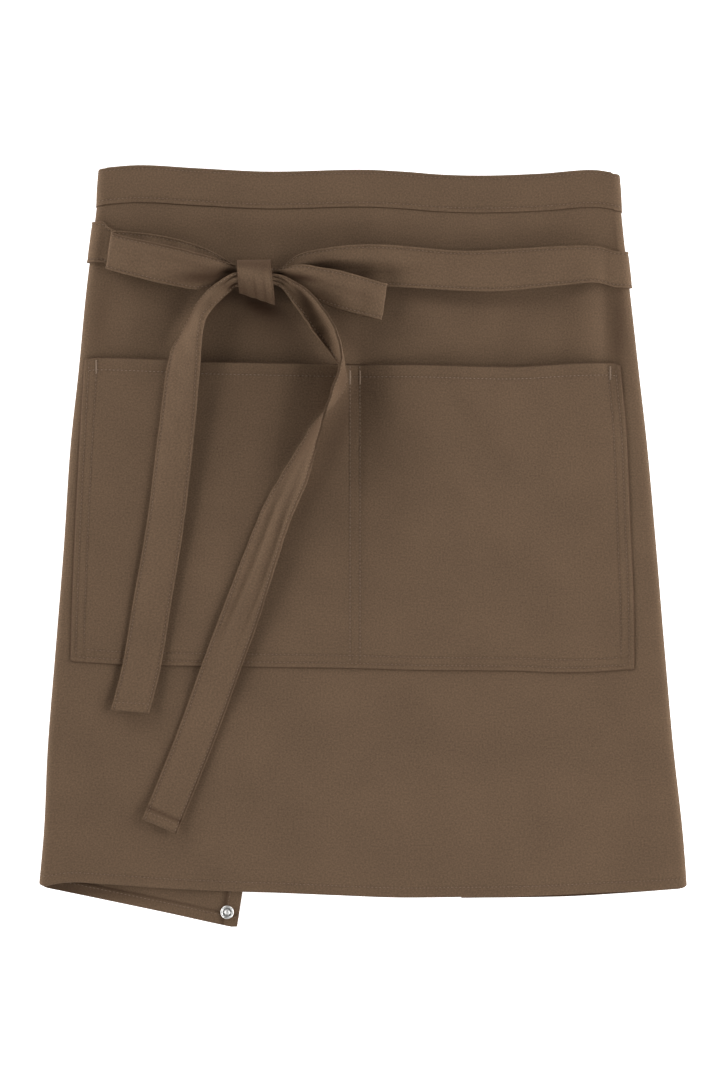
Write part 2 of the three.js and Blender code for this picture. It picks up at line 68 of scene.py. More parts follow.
# Soft rolls at the sides and how the front lies between them
ROLL = 6.0
FOLD_HEIGHT = 9.0
FOLD_REACH = 38.0
SINK = 1.3
SINK_REACH = 30.0
FOLDS_INSET = {"side": 12.0, "band": 20.0}
POCKET_PUFF = 6.5
PARTING = (-9.75, -2.25)

# Press stud; the bow's knot, with the crumples and gathers of the ties beside it; how the cloth is lifted
# over the ties; and the ends of the waistband, where the ties start
SNAP = {"x": -101.7, "y": -273.8, "radius": 5.0, "post": 1.7, "lift": 1.5, "flat": 14.0, "slope": 45.0}
TIE_RAMP = 45.0
KNOT = {"x": -79.5, "middle": 198.8, "crown": 1.75, "seat": 2.8, "clear": 0.4, "height": 18.0, "half": 13.5,
        "rim": 5.0, "fall": 1.5, "lip": 0.7, "lean": 1.3}
CRUMPLED = {"least": 0.25, "reach": 120.0}
GATHERED = {"height": 0.9, "reach": 14.0, "waves": 2.3}
LIFT = {"from": 112.0, "to": 184.0, "height": 2.2}
WAIST_LIFT = {"from": 224.0, "to": 250.0, "height": 1.1}
SPACE = {"flat": 2.0, "waist": 4.2}
ROOT = {"x": 5.7, "turn": 3.2, "top": 279.4, "bottom": 252.2, "floor": 0.85}

# Reach of the panel and of the pocket up the front, where first guesses of their edges are read
ROUGH_REACH = (-255, 282)
POCKET_REACH = (-91, 137)
SIDE_NAMES = {-1: "left", 1: "right"}

# Columns of bumps and of painted shadow patches: middle, direction in degrees, half length and breadth; the
# last column is the height of a bump, and the strength of a patch's painted shade, which on the ties also
# sets how far it sinks
BUMP = "x y turn length breadth height"
SHADE_PATCH = "x y turn length breadth tucked"


class Table:
    """Rows with named columns, read as a smooth curve: cubics with slopes from the neighbouring rows."""

    def __init__(self, columns, rows):
        self.table = np.array(rows, float)
        self.columns = dict(zip(columns.split(), self.table.T))
        self.columns["n"] = np.arange(len(rows), dtype=float)
        self.last = len(rows) - 1

    def __call__(self, at):
        """The second column at places in the first."""
        first, second = list(self.columns)[:2]
        return self.read(first, second, at)

    def rows(self):
        return self.table.tolist()

    def read(self, key, column, at):
        k, v = self.columns[key], self.columns[column]
        at = np.clip(np.asarray(at, float), k[0], k[-1])
        n = np.clip(np.searchsorted(k, at) - 1, 0, self.last - 1)

        def slope(m):
            before, after = np.maximum(m - 1, 0), np.minimum(m + 1, self.last)
            return (v[after] - v[before]) / (k[after] - k[before])

        step = k[n + 1] - k[n]
        t = (at - k[n]) / step
        a, b, sa, sb = v[n], v[n + 1], slope(n) * step, slope(n + 1) * step
        return a + t * (sa + t * (3 * (b - a) - 2 * sa - sb + t * (2 * (a - b) + sa + sb)))


# Side edges of the apron as it lies, from hem to waist
SIDES = Table("y left right", [
    (-256, -242.2, 242.2), (-210, -238.2, 238.5), (-150, -235.5, 231.8), (-75, -229.5, 225.2),
    (0, -223.5, 219), (75, -218.5, 212.3), (135, -212, 205.5), (195, -206, 198.6), (255, -198.4, 192),
    (284, -196.5, 190.5),
])
# Finished top edge of the waistband on the front
WAIST = Table("x y", [
    (-197, 282), (-165, 284.6), (-122, 282.6), (-70, 280.2), (-2, 281.6), (30, 280.2), (58, 278),
    (90, 277.2), (133, 278.6), (170, 280.9), (191, 278),
])
# Hems of the front and of the two flaps, and the flaps' free side edges
HEM = Table("x y", [
    (-242, -254), (-221, -250.6), (-193, -252.4), (-149, -255.7), (-91, -258.2), (-25, -261), (28, -262.9),
    (77, -262.3), (128, -261.4), (207, -257.2), (242, -254.8),
])
FLAP_HEMS = {
    -1: Table("x y", [(-242, -254.6), (-94.5, -284.6)]),
    1: Table("x y", [(76.5, -263.2), (150, -262.1), (200, -259.2), (242, -256)]),
}
FLAP_EDGES = Table("y left right", [(-284.6, -94.5, 76.5), (283, -6, 6)])
# Soft folds of the front
FOLDS = Table(BUMP, [
    (170, 160, 88, 50, 11, 2.4), (191, 190, 97, 60, 6, -0.5), (60, 172, 5, 45, 24, 1.4),
    (62, 60, -54, 48, 12, 1.5), (118, 20, -72, 70, 22, 1.1), (-120, -10, 80, 70, 24, 0.8),
    (20, -170, 86, 80, 30, 1.0), (145, -175, 84, 75, 26, 1.2), (-150, -190, 96, 65, 24, 1.1),
    (90, 232, 0, 55, 16, 1.0), (-60, -60, 70, 80, 26, 0.7),
])
# Narrower creases of the front
CREASES = Table(BUMP, [
    (182, 170, 92, 48, 7, -2.8), (161, 162, 88, 46, 8, 1.1), (108, 163, 82, 34, 14, -1.2),
    (46, 165, 76, 34, 16, 0.9), (140, 232, 4, 40, 10, -0.8), (-185, 172, 84, 40, 9, -1.2),
    (84, 84, -58, 40, 8, -0.9), (178, 60, 86, 50, 12, 0.9),
])
# Painted shadows on the front and on the pocket, under the bow and along the ties: they only darken the
# colour
PAINTED_SHADOWS = Table(SHADE_PATCH, [
    (-77, 181, -21, 18, 7, 1.0), (-72, 167, -21, 26, 12, 0.35), (190.5, 162, 92, 40, 6, 0.5),
    (190.5, 231, 95, 13, 3.5, 0.45), (45, 187, -2, 90, 6, 0.2), (-18, 166, -52, 26, 8, 0.3),
    (-16, 92, 68, 30, 8, 0.32), (-36, 42, 62, 34, 7, 0.26), (-84, 120, 40, 26, 14, 0.12),
    (-105, 186, 40, 14, 7, 0.5), (-197, 170, 84, 26, 6, 0.25),
])
# Painted shadows on the flaps near the folds
FLAP_PAINTED_SHADOWS = Table(SHADE_PATCH, [
    (-226, -257, -8, 30, 5.5, 0.6), (-180, -261, -11, 30, 4, 0.35), (165, -262, 2, 75, 4, 0.8),
])
# Dents of the ties, most of them beside the knot: each sinks into the strap and is darkened by painted shade
TIE_DENTS_AND_SHADOWS = {name: Table(SHADE_PATCH, rows) for name, rows in {
    "right_band": [(-27, 208, -10, 18, 5.5, 0.6), (-8, 201, -12, 12, 5, 0.3)],
    "left_loop": [
        (-117, 200.5, 3, 25, 5.5, 0.85), (-99, 203, 0, 6, 5, 0.3), (-128, 210, -14, 26, 2.6, 0.2),
    ],
    "right_loop": [
        (-47, 200, -10, 14, 2.6, 0.8), (-60, 203, 0, 6, 4, 0.3), (-38, 190, -20, 26, 7, 0.42),
        (-12, 190, -16, 18, 2.4, 0.22),
    ],
    "left_tail": [
        (-136, 164, 62, 20, 4.5, 0.4), (-97, 194, 20, 6, 2.2, 0.9), (-99, 198.5, 31, 9, 1.3, 0.55),
    ],
    "right_tail": [
        (-14, 124, 75, 13, 7, 0.3), (-36, 86, 60, 26, 8, 0.32), (-37, 166, -55, 22, 4, 0.45),
        (-42, 182, -57, 17, 3, 0.6),
    ],
}.items()}
# Slight waves that every laid cloth keeps: wavelength, direction in degrees, shift and height
WAVES = Table("length turn shift height", [
    (61, 20, 0.4, 0.10), (47, 75, 2.1, 0.08), (38, 130, 4.4, 0.06), (83, 100, 1.2, 0.12),
    (29, 50, 5.3, 0.035),
])
# Crumples of the bow, with the same columns
CRUMPLES = Table("length turn shift height", [
    (17, 35, 0.6, 0.30), (12, 110, 2.4, 0.18), (24, 160, 4.1, 0.36),
])
# Pocket patch: top and bottom edge across, side edges along
POCKET_TOP = Table("x y", [
    (-207, 138.7), (-199, 140), (-145, 138.4), (-118, 137.1), (-18, 135.4), (42, 134.9), (109, 133.2),
    (157, 135.6), (186, 136), (191.5, 134.4),
])
POCKET_BOTTOM = Table("x y", [
    (-217.5, -84.8), (-180, -87.6), (-120, -88.9), (-11, -90.4), (38, -91.8), (110, -92.4), (157, -93.6),
    (202, -91),
])
POCKET_SIDES = Table("y left right", [
    (-91, -217.5, 201.8), (-40, -216, 201.2), (20, -213.5, 198.6), (84, -210.2, 196), (137, -207, 191.3),
])
# Ties from the sides to the knot: upper and lower edge, and height of the tie's middle above the cloth's
LEFT_BAND = Table("x top bottom rise", [
    (-193, 242, 212, 1.8), (-186, 236, 206.6, 2.6), (-152, 223.5, 196.5, 5.2), (-122, 214.5, 193, 5.2),
    (-95, 206, 195.5, 4.3), (-82, 205.5, 196, 4.3),
])
RIGHT_BAND = Table("x top bottom rise", [
    (188.5, 219.8, 193, 1.8), (172, 223.8, 196.5, 3.4), (142, 223.5, 194, 6.2), (103, 221.2, 190.4, 6.4),
    (70, 220.5, 190.8, 6), (28, 223.9, 193.5, 5.7), (0, 224.6, 194.6, 5.6), (-23, 222.4, 195.5, 5.1),
    (-47, 217.9, 197, 4.7), (-64, 206, 196, 4.4), (-77, 205.5, 196.5, 4.4),
])
# Sections of the bow: both edges (a and b), their heights above the cloth, and the bulge between them
SECTION = "ax ay az bx by bz bulge"
LEFT_LOOP = Table(SECTION, [
    (-82, 209.5, 6, -82, 200.5, 6, 0), (-95, 210, 6, -95, 200, 6, 0),
    (-118.5, 222.6, 7, -121, 199, 6.8, 0), (-147.5, 231, 6.8, -151, 205, 7, 0),
    (-175.5, 234.3, 5.6, -180, 207.5, 5.6, 0), (-186.3, 233.6, 8, -190.6, 206.6, 7.8, 0),
    (-175.5, 229.6, 12, -180, 203, 11, -0.6), (-147.5, 223.6, 17.5, -151.5, 196.5, 13.4, -1.8),
    (-118.5, 216.6, 16.5, -121, 191.8, 9.4, -2.2), (-95, 209.5, 9.2, -95, 199, 8.8, 0),
    (-82, 209, 8.9, -82, 200, 8.8, 0),
])
RIGHT_LOOP = Table(SECTION, [
    (-77, 198.5, 6, -77, 208.5, 6, 0), (-64, 197, 6, -64, 207, 6, 0), (-47, 187, 6, -46, 209, 6.7, 0),
    (-19, 176.5, 6.6, -14, 203, 7.2, 0), (2, 171, 6.8, 6.5, 198, 7.2, 0),
    (13.5, 168.8, 9.2, 17.5, 195.6, 9.8, 0), (2, 171.5, 12.6, 6.5, 198.2, 14.4, -0.6),
    (-19, 177.5, 13, -14, 203.6, 19.5, -2), (-47, 188.5, 8.6, -45.5, 209, 16.5, -2.6),
    (-64, 198, 8.8, -64, 206.5, 9.2, 0), (-77, 199, 8.8, -77, 208, 8.9, 0),
])
LEFT_TAIL = Table(SECTION, [
    (-83, 202, 16.4, -83, 193.5, 15.8, 0.5), (-96, 202.4, 14, -94.5, 193.4, 12.8, 2.4),
    (-110, 194.4, 12.2, -99.5, 190, 10.2, 5), (-119.5, 186.2, 8.8, -107, 183.2, 10.4, 5.2),
    (-127, 176.6, 3.8, -113.8, 175, 12.8, 4.4), (-135, 161.4, 1.4, -119, 161.4, 15, 3),
    (-144.5, 139, 1.2, -120.8, 139, 11.5, 2.4), (-152, 86.6, 1.1, -125.3, 86.6, 7.5, 2.2),
    (-160.5, 20.6, 1.1, -133, 20.6, 4, 2), (-171.2, -40, 1.1, -143, -40, 2.4, 1.8),
    (-179.3, -87.4, 1.1, -150.8, -87.4, 1.6, 1.8), (-187.9, -122.3, 2.4, -159.8, -124.5, 2.8, 1.6),
])
RIGHT_TAIL = Table(SECTION, [
    (-76, 193, 16.6, -76, 201.5, 17, -0.4), (-64.5, 194.4, 15.2, -63.5, 201.5, 15.8, -1),
    (-56, 186.6, 15, -53.5, 197.6, 18.2, -3.4), (-46.6, 173.6, 14.6, -41.3, 189.4, 20.6, -6),
    (-37.6, 160.4, 12.2, -30, 176.3, 22, -7.4), (-28.2, 148.2, 7.6, -20.8, 160.4, 24, -6),
    (-19.2, 138, 2.4, -16, 144.6, 25.4, -2.6), (-13, 128.6, 1.2, -17, 133.6, 26.4, -1),
    (-14.4, 118, 1.1, -21, 121, 26.6, -0.6), (-22.4, 106.4, 1.1, -25.6, 107, 26, -0.6),
    (-36, 92, 1.1, -30, 93.4, 24.8, -0.8), (-48.6, 72, 1.1, -36, 69.6, 21.8, -1),
    (-61, 52.2, 1.1, -42.2, 46.7, 17.5, -0.8), (-76.6, 24.6, 1.1, -56.2, 13.2, 12, 0),
    (-99.8, -34.8, 1.1, -74.6, -44.6, 5, 0.8), (-118.5, -83.6, 1.1, -92.2, -93.4, 2.4, 1.4),
    (-138.4, -138.4, 1.1, -112.5, -148.5, 1.4, 1.8), (-164.5, -203.6, 2.4, -139.5, -214.8, 2.8, 1.6),
])
# Where across the left tail its bulge is highest, along its sections
LEFT_CREST = Table("n part", [
    (0, 0.5), (1, 0.28), (2, 0.32), (3, 0.55), (4, 0.76), (5, 0.84), (6, 0.8), (7, 0.5), (8, 0.5),
])
# Roll of the right tie near the bow: how far its upper part stands up and its lower part sinks
BAND_ROLL = Table("x high low", [
    (-77, 0, 0), (-60, 0.4, 0), (-40, 4.5, 2), (-14, 8, 3.4), (12, 6, 2), (40, 2.4, -1), (75, 1.5, -2.2),
    (120, 1.5, -2.2), (160, 0.6, -0.8), (193, 0, 0),
])
# Turn of tie round the bow: its sections from left to right
WRAP = Table("x middle reach depth", [
    (-93.5, 200.8, 11.6, 8.7), (-87, 199.9, 12.8, 8.9), (-79.5, 198.8, 14, 9), (-72.5, 197.6, 15.2, 8.9),
    (-66.5, 196.8, 16.2, 8.7),
])
# Pleats of that turn: place across it, breadth and height
PLEATS = Table("x breadth height", [
    (-89, 2.6, -0.5), (-84.5, 2.2, 0.6), (-80.6, 1.8, -0.7), (-77, 2, 0.5), (-73.2, 1.9, -0.7),
    (-69.6, 1.8, 0.5),
])


def soft(t, low=0.0, high=1.0):
    """Smooth step from 0 at low to 1 at high."""
    s = np.clip((t - low) / (high - low), 0, 1)
    return s * s * (3 - 2 * s)


def lerp(a, b, t):
    return a + (b - a) * t


def bell(t, middle, breadth):
    """Rounded bump of height 1 at middle."""
    return np.exp(-(((t - middle) / breadth) ** 2))


def spread(stops, step):
    """Rising places through all stops, with even steps no longer than step between them."""
    parts = [np.linspace(a, b, max(int(np.ceil((b - a) / step)), 1), endpoint=False)
             for a, b in zip(stops[:-1], stops[1:])]
    return np.append(np.concatenate(parts), stops[-1])


def unit(vectors):
    return vectors / np.maximum(np.linalg.norm(vectors, axis=-1, keepdims=True), 1e-12)


def place(x, y, z):
    """Points from their three coordinates, each of them a number, a row, a column or a grid."""
    return np.stack(np.broadcast_arrays(x, y, z), -1)


def counted(things):
    return np.arange(len(things), dtype=float)


def run_along(points, axis=0):
    """Distances along one way of a grid of points, from its first edge."""
    steps = np.linalg.norm(np.diff(points, axis=axis), axis=-1)
    return np.insert(np.cumsum(steps, axis=axis), 0, 0, axis=axis)


def side_x(side, y):
    return SIDES.read("y", SIDE_NAMES[side], y)


def flap_edge_x(side, y):
    return FLAP_EDGES.read("y", SIDE_NAMES[side], y)


def lifted(lift, y):
    return lift["height"] * soft(y, lift["from"], lift["to"])


def back_z(x, y):
    """Height of the middle of the back cloth: level on the floor, lifted over the ties and over the stud."""
    away = np.hypot(x - SNAP["x"], y - SNAP["y"])
    corner = np.where(x < 0, SNAP["lift"] * (1 - soft(away, SNAP["flat"], SNAP["slope"])), 0)
    return CLOTH / 2 + lifted(LIFT, y) + lifted(WAIST_LIFT, y) + corner


def long_bumps(x, y, *tables):
    """Sum of bumps, each the product of one bell along its direction and a narrower one across it."""
    total = np.zeros(np.broadcast(x, y).shape)
    for fx, fy, turn, length, breadth, height in (row for table in tables for row in table.rows()):
        c, s = np.cos(np.radians(turn)), np.sin(np.radians(turn))
        along, across = (x - fx) * c + (y - fy) * s, (y - fy) * c - (x - fx) * s
        total += height * bell(along, 0, length) * bell(across, 0, breadth)
    return total


def waves(x, y, table):
    """Sum of sines along the directions in a table, each with a slow drift of its own phase."""
    total = np.zeros(np.broadcast(x, y).shape)
    for length, turn, shift, height in table.rows():
        along = x * np.cos(np.radians(turn)) + y * np.sin(np.radians(turn))
        drift = 1.3 * np.sin(along / (2.7 * length) + shift)
        total += height * np.sin(2 * np.pi * along / length + shift + drift)
    return total


def crumples(x, y):
    """Unevenness of the ties: waves that are less away from the knot."""
    near = bell(np.hypot(x - KNOT["x"], y - KNOT["middle"]), 0, CRUMPLED["reach"])
    return waves(x, y, CRUMPLES) * lerp(CRUMPLED["least"], 1, near)


def folds_z(x, y):
    """Height of the soft folds: a sum of long rounded bumps, and of slight waves all over the cloth."""
    return long_bumps(x, y, FOLDS, CREASES) + waves(x, y, WAVES)


def front_z(x, y):
    """Height of the front's middle: over the back, higher at the side folds, sunk between the flaps."""
    space = lerp(SPACE["flat"], SPACE["waist"], soft(y, WAIST_LIFT["from"], WAIST_LIFT["to"]))
    left, right = side_x(-1, y) + ROLL, side_x(1, y) - ROLL
    rise = (FOLD_HEIGHT - space) * (bell(np.maximum(x - left, 0), 0, FOLD_REACH)
                                    + bell(np.maximum(right - x, 0), 0, FOLD_REACH))
    a, b = flap_edge_x(-1, y), flap_edge_x(1, y)
    sunk = SINK * soft((b - a) / 2 - np.abs(x - (a + b) / 2), 0, SINK_REACH)
    inside = soft(np.minimum(x - left, right - x), 0, FOLDS_INSET["side"])
    below_band = soft(WAIST(x) - y, BAND_DEPTH, BAND_DEPTH + FOLDS_INSET["band"])
    return back_z(x, y) + space + rise - sunk + folds_z(x, y) * inside * below_band


def fold_point(side, angle, y, off=0.0):
    """Place on a side fold, an ellipse from the back (-90 degrees) to the front (90), moved out by off."""
    turn = np.radians(angle)
    start = side_x(side, y) - side * ROLL
    low, high = back_z(start, y), front_z(start, y)
    x = start + side * (ROLL + off) * np.cos(turn)
    return place(x, y, (low + high) / 2 + ((high - low) / 2 + off) * np.sin(turn))


def pocket_sides(y):
    return POCKET_SIDES.read("y", "left", y), POCKET_SIDES.read("y", "right", y)


def pocket_ends(x):
    """Foot and mouth of the pocket."""
    return POCKET_BOTTOM(x), POCKET_TOP(x)


def pocket_place(u, v):
    """Place on the pocket patch at the parts u of its width and v of its height."""
    x = lerp(*pocket_sides(lerp(*POCKET_REACH, v)), u)
    return x, lerp(*pocket_ends(x), v)


def puff(x, y):
    """How far the pocket stands off the front: sewn down at sides, foot and parting, open at the mouth."""
    left, right = pocket_sides(y)
    a = np.where(x < PARTING[0], left, PARTING[1])
    b = np.where(x < PARTING[0], PARTING[0], right)
    across = np.clip((x - a) / (b - a), 0, 1)
    foot, mouth = pocket_ends(x)
    up = np.clip((y - foot) / (mouth - foot), 0, 1)
    return POCKET_PUFF * np.sin(np.pi * across) ** 0.8 * np.sin(np.pi / 2 * up) ** 1.6


def ground_z(x, y):
    """Height of the top of whatever cloth lies under the bow at a place."""
    left, right = pocket_sides(y)
    foot, mouth = pocket_ends(x)
    inside = np.minimum(np.minimum(x - left, right - x), np.minimum(y - foot, mouth - y))
    return front_z(x, y) + CLOTH / 2 + soft(inside, -TIE_RAMP, -1) * (CLOTH + POCKET_GAP + puff(x, y))


def pucker(along, away, reach=7.0):
    """Small uneven waves along a seam that die out away from it."""
    phase = along * 0.71 + 1.7 * np.sin(along * 0.113) + 0.9 * np.sin(along * 0.31 + 1)
    return np.sin(phase) * (0.6 + 0.4 * np.sin(along * 0.067 + 2)) * np.exp(-np.abs(away) / reach)


class Wall:
    """A sheet of cloth: a grid of middle points, its normals, and how far its two faces stand off them.

    Its shade marks say how far painted shade darkens the colour of its faces, from 0 to 1.
    """

    def __init__(self, middle, over, under, rim=0.3, ring=False, tucked=0.0):
        self.middle, self.rim, self.ring, self.tucked = middle, rim, ring, tucked
        shape = middle.shape[:2]
        self.over, self.under = np.broadcast_to(over, shape), np.broadcast_to(under, shape)
        if ring:
            along = np.roll(middle, -1, 0) - np.roll(middle, 1, 0)
        else:
            along = np.gradient(middle, axis=0)
        self.normal = unit(np.cross(along, np.gradient(middle, axis=1)))

    def face(self, side):
        off = self.over if side > 0 else -self.under
        return self.middle + self.normal * off[..., None]

    def line(self, i, j, side):
        """Points and outward normals of a face along a line of places in the grid, by bilinear mixing."""
        face, out = self.face(side), self.normal * side
        rows, cols = face.shape[:2]
        i, j = np.broadcast_arrays(np.clip(i, 0, rows - 1), np.clip(j, 0, cols - 1))
        i0, j0 = np.minimum(i.astype(int), rows - 2), np.minimum(j.astype(int), cols - 2)
        s, t = (i - i0)[:, None], (j - j0)[:, None]

        def mixed(grid):
            before, after = (lerp(grid[k, j0], grid[k, j0 + 1], t) for k in (i0, i0 + 1))
            return lerp(before, after, s)

        return mixed(face), unit(mixed(out))

    def mesh_parts(self):
        """Vertices, faces and flat coordinates of the closed wall: two faces and a rim between their borders.

        The flat coordinates are the distances along both ways of the grid, averaged over it.
        """
        top, bottom = self.face(1), self.face(-1)
        rows, cols = top.shape[:2]
        cells = rows * cols
        ways = [run_along(self.middle, axis).mean(axis=1 - axis) for axis in (0, 1)]
        flat = np.stack(np.meshgrid(*ways, indexing="ij"), -1)
        T = np.arange(cells).reshape(rows, cols)
        B = T + cells
        if self.ring:
            T, B = np.vstack([T, T[:1]]), np.vstack([B, B[:1]])
        points, flats = [top.reshape(-1, 3), bottom.reshape(-1, 3)], [flat.reshape(-1, 2)] * 2
        rims, count = [], 2 * cells
        every = slice(None)
        borders = [((every, 0), (every, 1)), ((every, -1), (every, -2)), ((0, every), (1, every)),
                   ((-1, every), (-2, every))]
        for edge, inner in borders[:2] if self.ring else borders:
            outward = unit(self.middle[edge] - self.middle[inner])
            points.append((top[edge] + bottom[edge]) / 2 + outward * self.rim)
            flats.append(flat[edge])
            ids = np.arange(count, count + len(outward))
            count += len(outward)
            rims.append(np.append(ids, ids[:1]) if self.ring else ids)

        def strip(a, b):
            return np.stack([a[:-1], b[:-1], b[1:], a[1:]], -1).reshape(-1, 4)

        quads = [np.stack([T[:-1, :-1], T[1:, :-1], T[1:, 1:], T[:-1, 1:]], -1).reshape(-1, 4),
                 np.stack([B[:-1, :-1], B[:-1, 1:], B[1:, 1:], B[1:, :-1]], -1).reshape(-1, 4),
                 strip(T[:, 0], rims[0]), strip(rims[0], B[:, 0]),
                 strip(B[:, -1], rims[1]), strip(rims[1], T[:, -1])]
        if not self.ring:
            left, right, first, last = rims
            quads += [strip(B[0], first), strip(first, T[0]), strip(T[-1], last), strip(last, B[-1]),
                      np.array([(T[0, 0], first[0], B[0, 0], left[0]),
                                (first[-1], T[0, -1], right[0], B[0, -1]),
                                (last[0], T[-1, 0], left[-1], B[-1, 0]),
                                (right[-1], T[-1, -1], last[-1], B[-1, -1])])]
        return np.concatenate(points), np.concatenate(quads), np.concatenate(flats)

    def paint_shade(self, piece, rim):
        """Marks on a piece how far painted shade darkens its colour, on its two faces and at its rim."""
        faces = np.clip(np.broadcast_to(self.tucked, self.middle.shape[:2]), 0, 1).ravel()
        tucked = np.concatenate([faces, faces, np.full(len(piece.data.vertices) - 2 * faces.size, rim)])
        piece.data.attributes.new("tucked", "FLOAT", "POINT").data.foreach_set("value", tucked)


def add_piece(name, points, faces, flat, material, slot, replaced=()):
    """Puts arrays in millimetres into a new smooth mesh object that rides with the apron."""
    a, b, c, d = points[faces].swapaxes(0, 1)
    if sum(np.einsum("ij,ij->", a, np.cross(*pair)) for pair in ((b, c), (c, d))) < 0:
        faces = faces[:, ::-1]
    mesh = bpy.data.meshes.new(name)
    mesh.vertices.add(len(points))
    mesh.vertices.foreach_set("co", (points * MM).ravel())
    mesh.loops.add(faces.size)
    mesh.loops.foreach_set("vertex_index", faces.ravel())
    mesh.polygons.add(len(faces))
    mesh.polygons.foreach_set("loop_start", np.arange(0, faces.size, 4))
    mesh.polygons.foreach_set("use_smooth", np.ones(len(faces), bool))
    mesh.uv_layers.new(name="Cloth").data.foreach_set("uv", (flat[faces.ravel()] * MM).ravel())
    mesh.update(calc_edges=True)
    if mesh.validate():
        raise RuntimeError(f"{name}: the mesh has faulty faces")
    mesh.materials.append(material)
    piece = bpy.data.objects.new(name, mesh)
    bpy.context.scene.collection.objects.link(piece)
    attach(piece, "root")
    if replaced:
        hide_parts(*replaced)
    return piece


class Value:
    """A socket in plain expressions: each operator adds a Math node to its material."""

    def __init__(self, finish, socket):
        self.finish, self.socket = finish, socket

    def math(self, operation, *values):
        return self.finish.node("ShaderNodeMath", {"operation": operation}, dict(enumerate(values)))

    def __add__(self, other):
        return self.math("ADD", self, other)

    def __sub__(self, other):
        return self.math("SUBTRACT", self, other)

    def __rsub__(self, other):
        return self.math("SUBTRACT", other, self)

    def __mul__(self, other):
        return self.math("MULTIPLY", self, other)

    __radd__, __rmul__ = __add__, __mul__

    def sine(self):
        return self.math("SINE", self)


class Finish:
    """A material whose nodes are added one at a time."""

    def __init__(self, name, **constants):
        self.material = bpy.data.materials.new(name)
        self.material.use_nodes = True
        self.tree = self.material.node_tree
        self.shader = self.tree.nodes["Principled BSDF"]
        for socket, value in constants.items():
            self.shader.inputs[socket.replace("_", " ")].default_value = value

    def node(self, kind, settings=None, inputs=None, output=0):
        """Adds a node, sets it, feeds its sockets with values or links, and gives one of its outputs."""
        node = self.tree.nodes.new(kind)
        for name, value in (settings or {}).items():
            setattr(node, name, value)
        for socket, value in (inputs or {}).items():
            self.feed(node.inputs[socket], value)
        return Value(self, node.outputs[output])

    def feed(self, socket, value):
        if isinstance(value, Value):
            self.tree.links.new(value.socket, socket)
        else:
            socket.default_value = value

    def drive(self, socket, value):
        self.feed(self.shader.inputs[socket], value)

    def mixed(self, part, a, b):
        """Colour from a to b by a part from 0 to 1."""
        return self.node("ShaderNodeMix", {"data_type": "RGBA"}, {"Factor": part, 6: a, 7: b}, 2)

    def noise(self, where, scale, detail, roughness=0.5):
        inputs = {"Vector": where, "Scale": scale, "Detail": detail, "Roughness": roughness}
        return self.node("ShaderNodeTexNoise", None, inputs)

    def flat_ways(self):
        """The cloth's own flat coordinates: both together, then along it and across it."""
        flat = self.node("ShaderNodeUVMap", {"uv_map": "Cloth"})
        return flat, *(self.node("ShaderNodeSeparateXYZ", None, {0: flat}, way) for way in (0, 1))


def shade(colour, factor):
    return tuple(min(c * factor, 1) for c in colour[:3]) + (1,)


# Share of the cloth's red, green and blue that is left where shade is painted in fully
PAINTED_SHADE_TINT = (0.32, 0.24, 0.18)
# How fine the yarn and the clouds of the cloth, the twist of the thread and the spots of the metal are
YARN_SCALE, CLOUD_SCALE, SPOT_SCALE = 760.0, 22.0, 900.0
TWIST_ALONG, TWIST_AROUND = 9000.0, 6000.0


def twill(name, colour, pitch):
    """Matte cotton twill: slanting ribs, crossing threads, uneven yarn, clouds, and painted shade where
    marked.
    """
    finish = Finish(name, Roughness=0.93, Specular_IOR_Level=0.22, Sheen_Weight=0.12, Sheen_Roughness=0.45,
                    Sheen_Tint=shade(colour, 3.5))
    flat, along, up = finish.flat_ways()
    yarn = finish.noise(flat, YARN_SCALE, 2.0, 0.65)
    cloud = finish.noise(flat, CLOUD_SCALE, 3.0, 0.55)
    turn = 2 * np.pi / pitch
    rib = ((along + up) * turn + yarn * 2.2).sine() * 0.5 + 0.5
    crossing = (up * (turn * 2.0)).sine() * 0.25 + (along * (turn * 2.0)).sine() * 0.25
    height = rib * 0.7 + crossing * 0.4 + yarn * 0.9
    tone = rib * 0.18 + yarn * 2.2 + cloud * 0.6 - 0.99
    # Painted shade: the mesh's shade marks mix the woven colour towards a dark copy of it.
    tucked = finish.node("ShaderNodeAttribute", {"attribute_name": "tucked"}, None, "Fac")
    woven = finish.mixed(tone, shade(colour, 0.75), shade(colour, 1.27))
    dark = tuple(c * t for c, t in zip(colour, PAINTED_SHADE_TINT)) + (1,)
    finish.drive("Base Color", finish.mixed(tucked, woven, dark))
    finish.drive("Roughness", 0.96 - yarn * 0.12)
    bump = {"Strength": 0.45, "Distance": 0.00018, "Height": height}
    finish.drive("Normal", finish.node("ShaderNodeBump", None, bump))
    return finish.material


def thread(name, colour, length):
    """Sewing thread: soft sheen, a fine twist along each stitch, painted shade at the ends where it goes into
    the cloth.
    """
    finish = Finish(name, Roughness=0.6, Specular_IOR_Level=0.35, Sheen_Weight=0.2,
                    Sheen_Tint=shade(colour, 3))
    _, along, around = finish.flat_ways()
    twist = (along * TWIST_ALONG + around * TWIST_AROUND).sine() * 0.5 + 0.5
    # Painted light: each stitch is painted lighter in its middle and darker towards its ends, where it goes
    # into the cloth.
    clear = (along * (np.pi / length)).sine() * 0.8 + twist * 0.2
    finish.drive("Base Color", finish.mixed(clear, shade(colour, 0.36), shade(colour, 1.2)))
    return finish.material


def bright_metal(name, colour):
    """Polished cap of the stud, with small dull spots."""
    finish = Finish(name, Metallic=0.85, Roughness=0.3)
    spots = finish.noise(finish.node("ShaderNodeTexCoord", None, None, "Object"), SPOT_SCALE, 3.0)
    finish.drive("Base Color", finish.mixed(spots, shade(colour, 0.8), shade(colour, 1.15)))
    finish.drive("Roughness", spots * 0.25 + 0.28)
    return finish.material


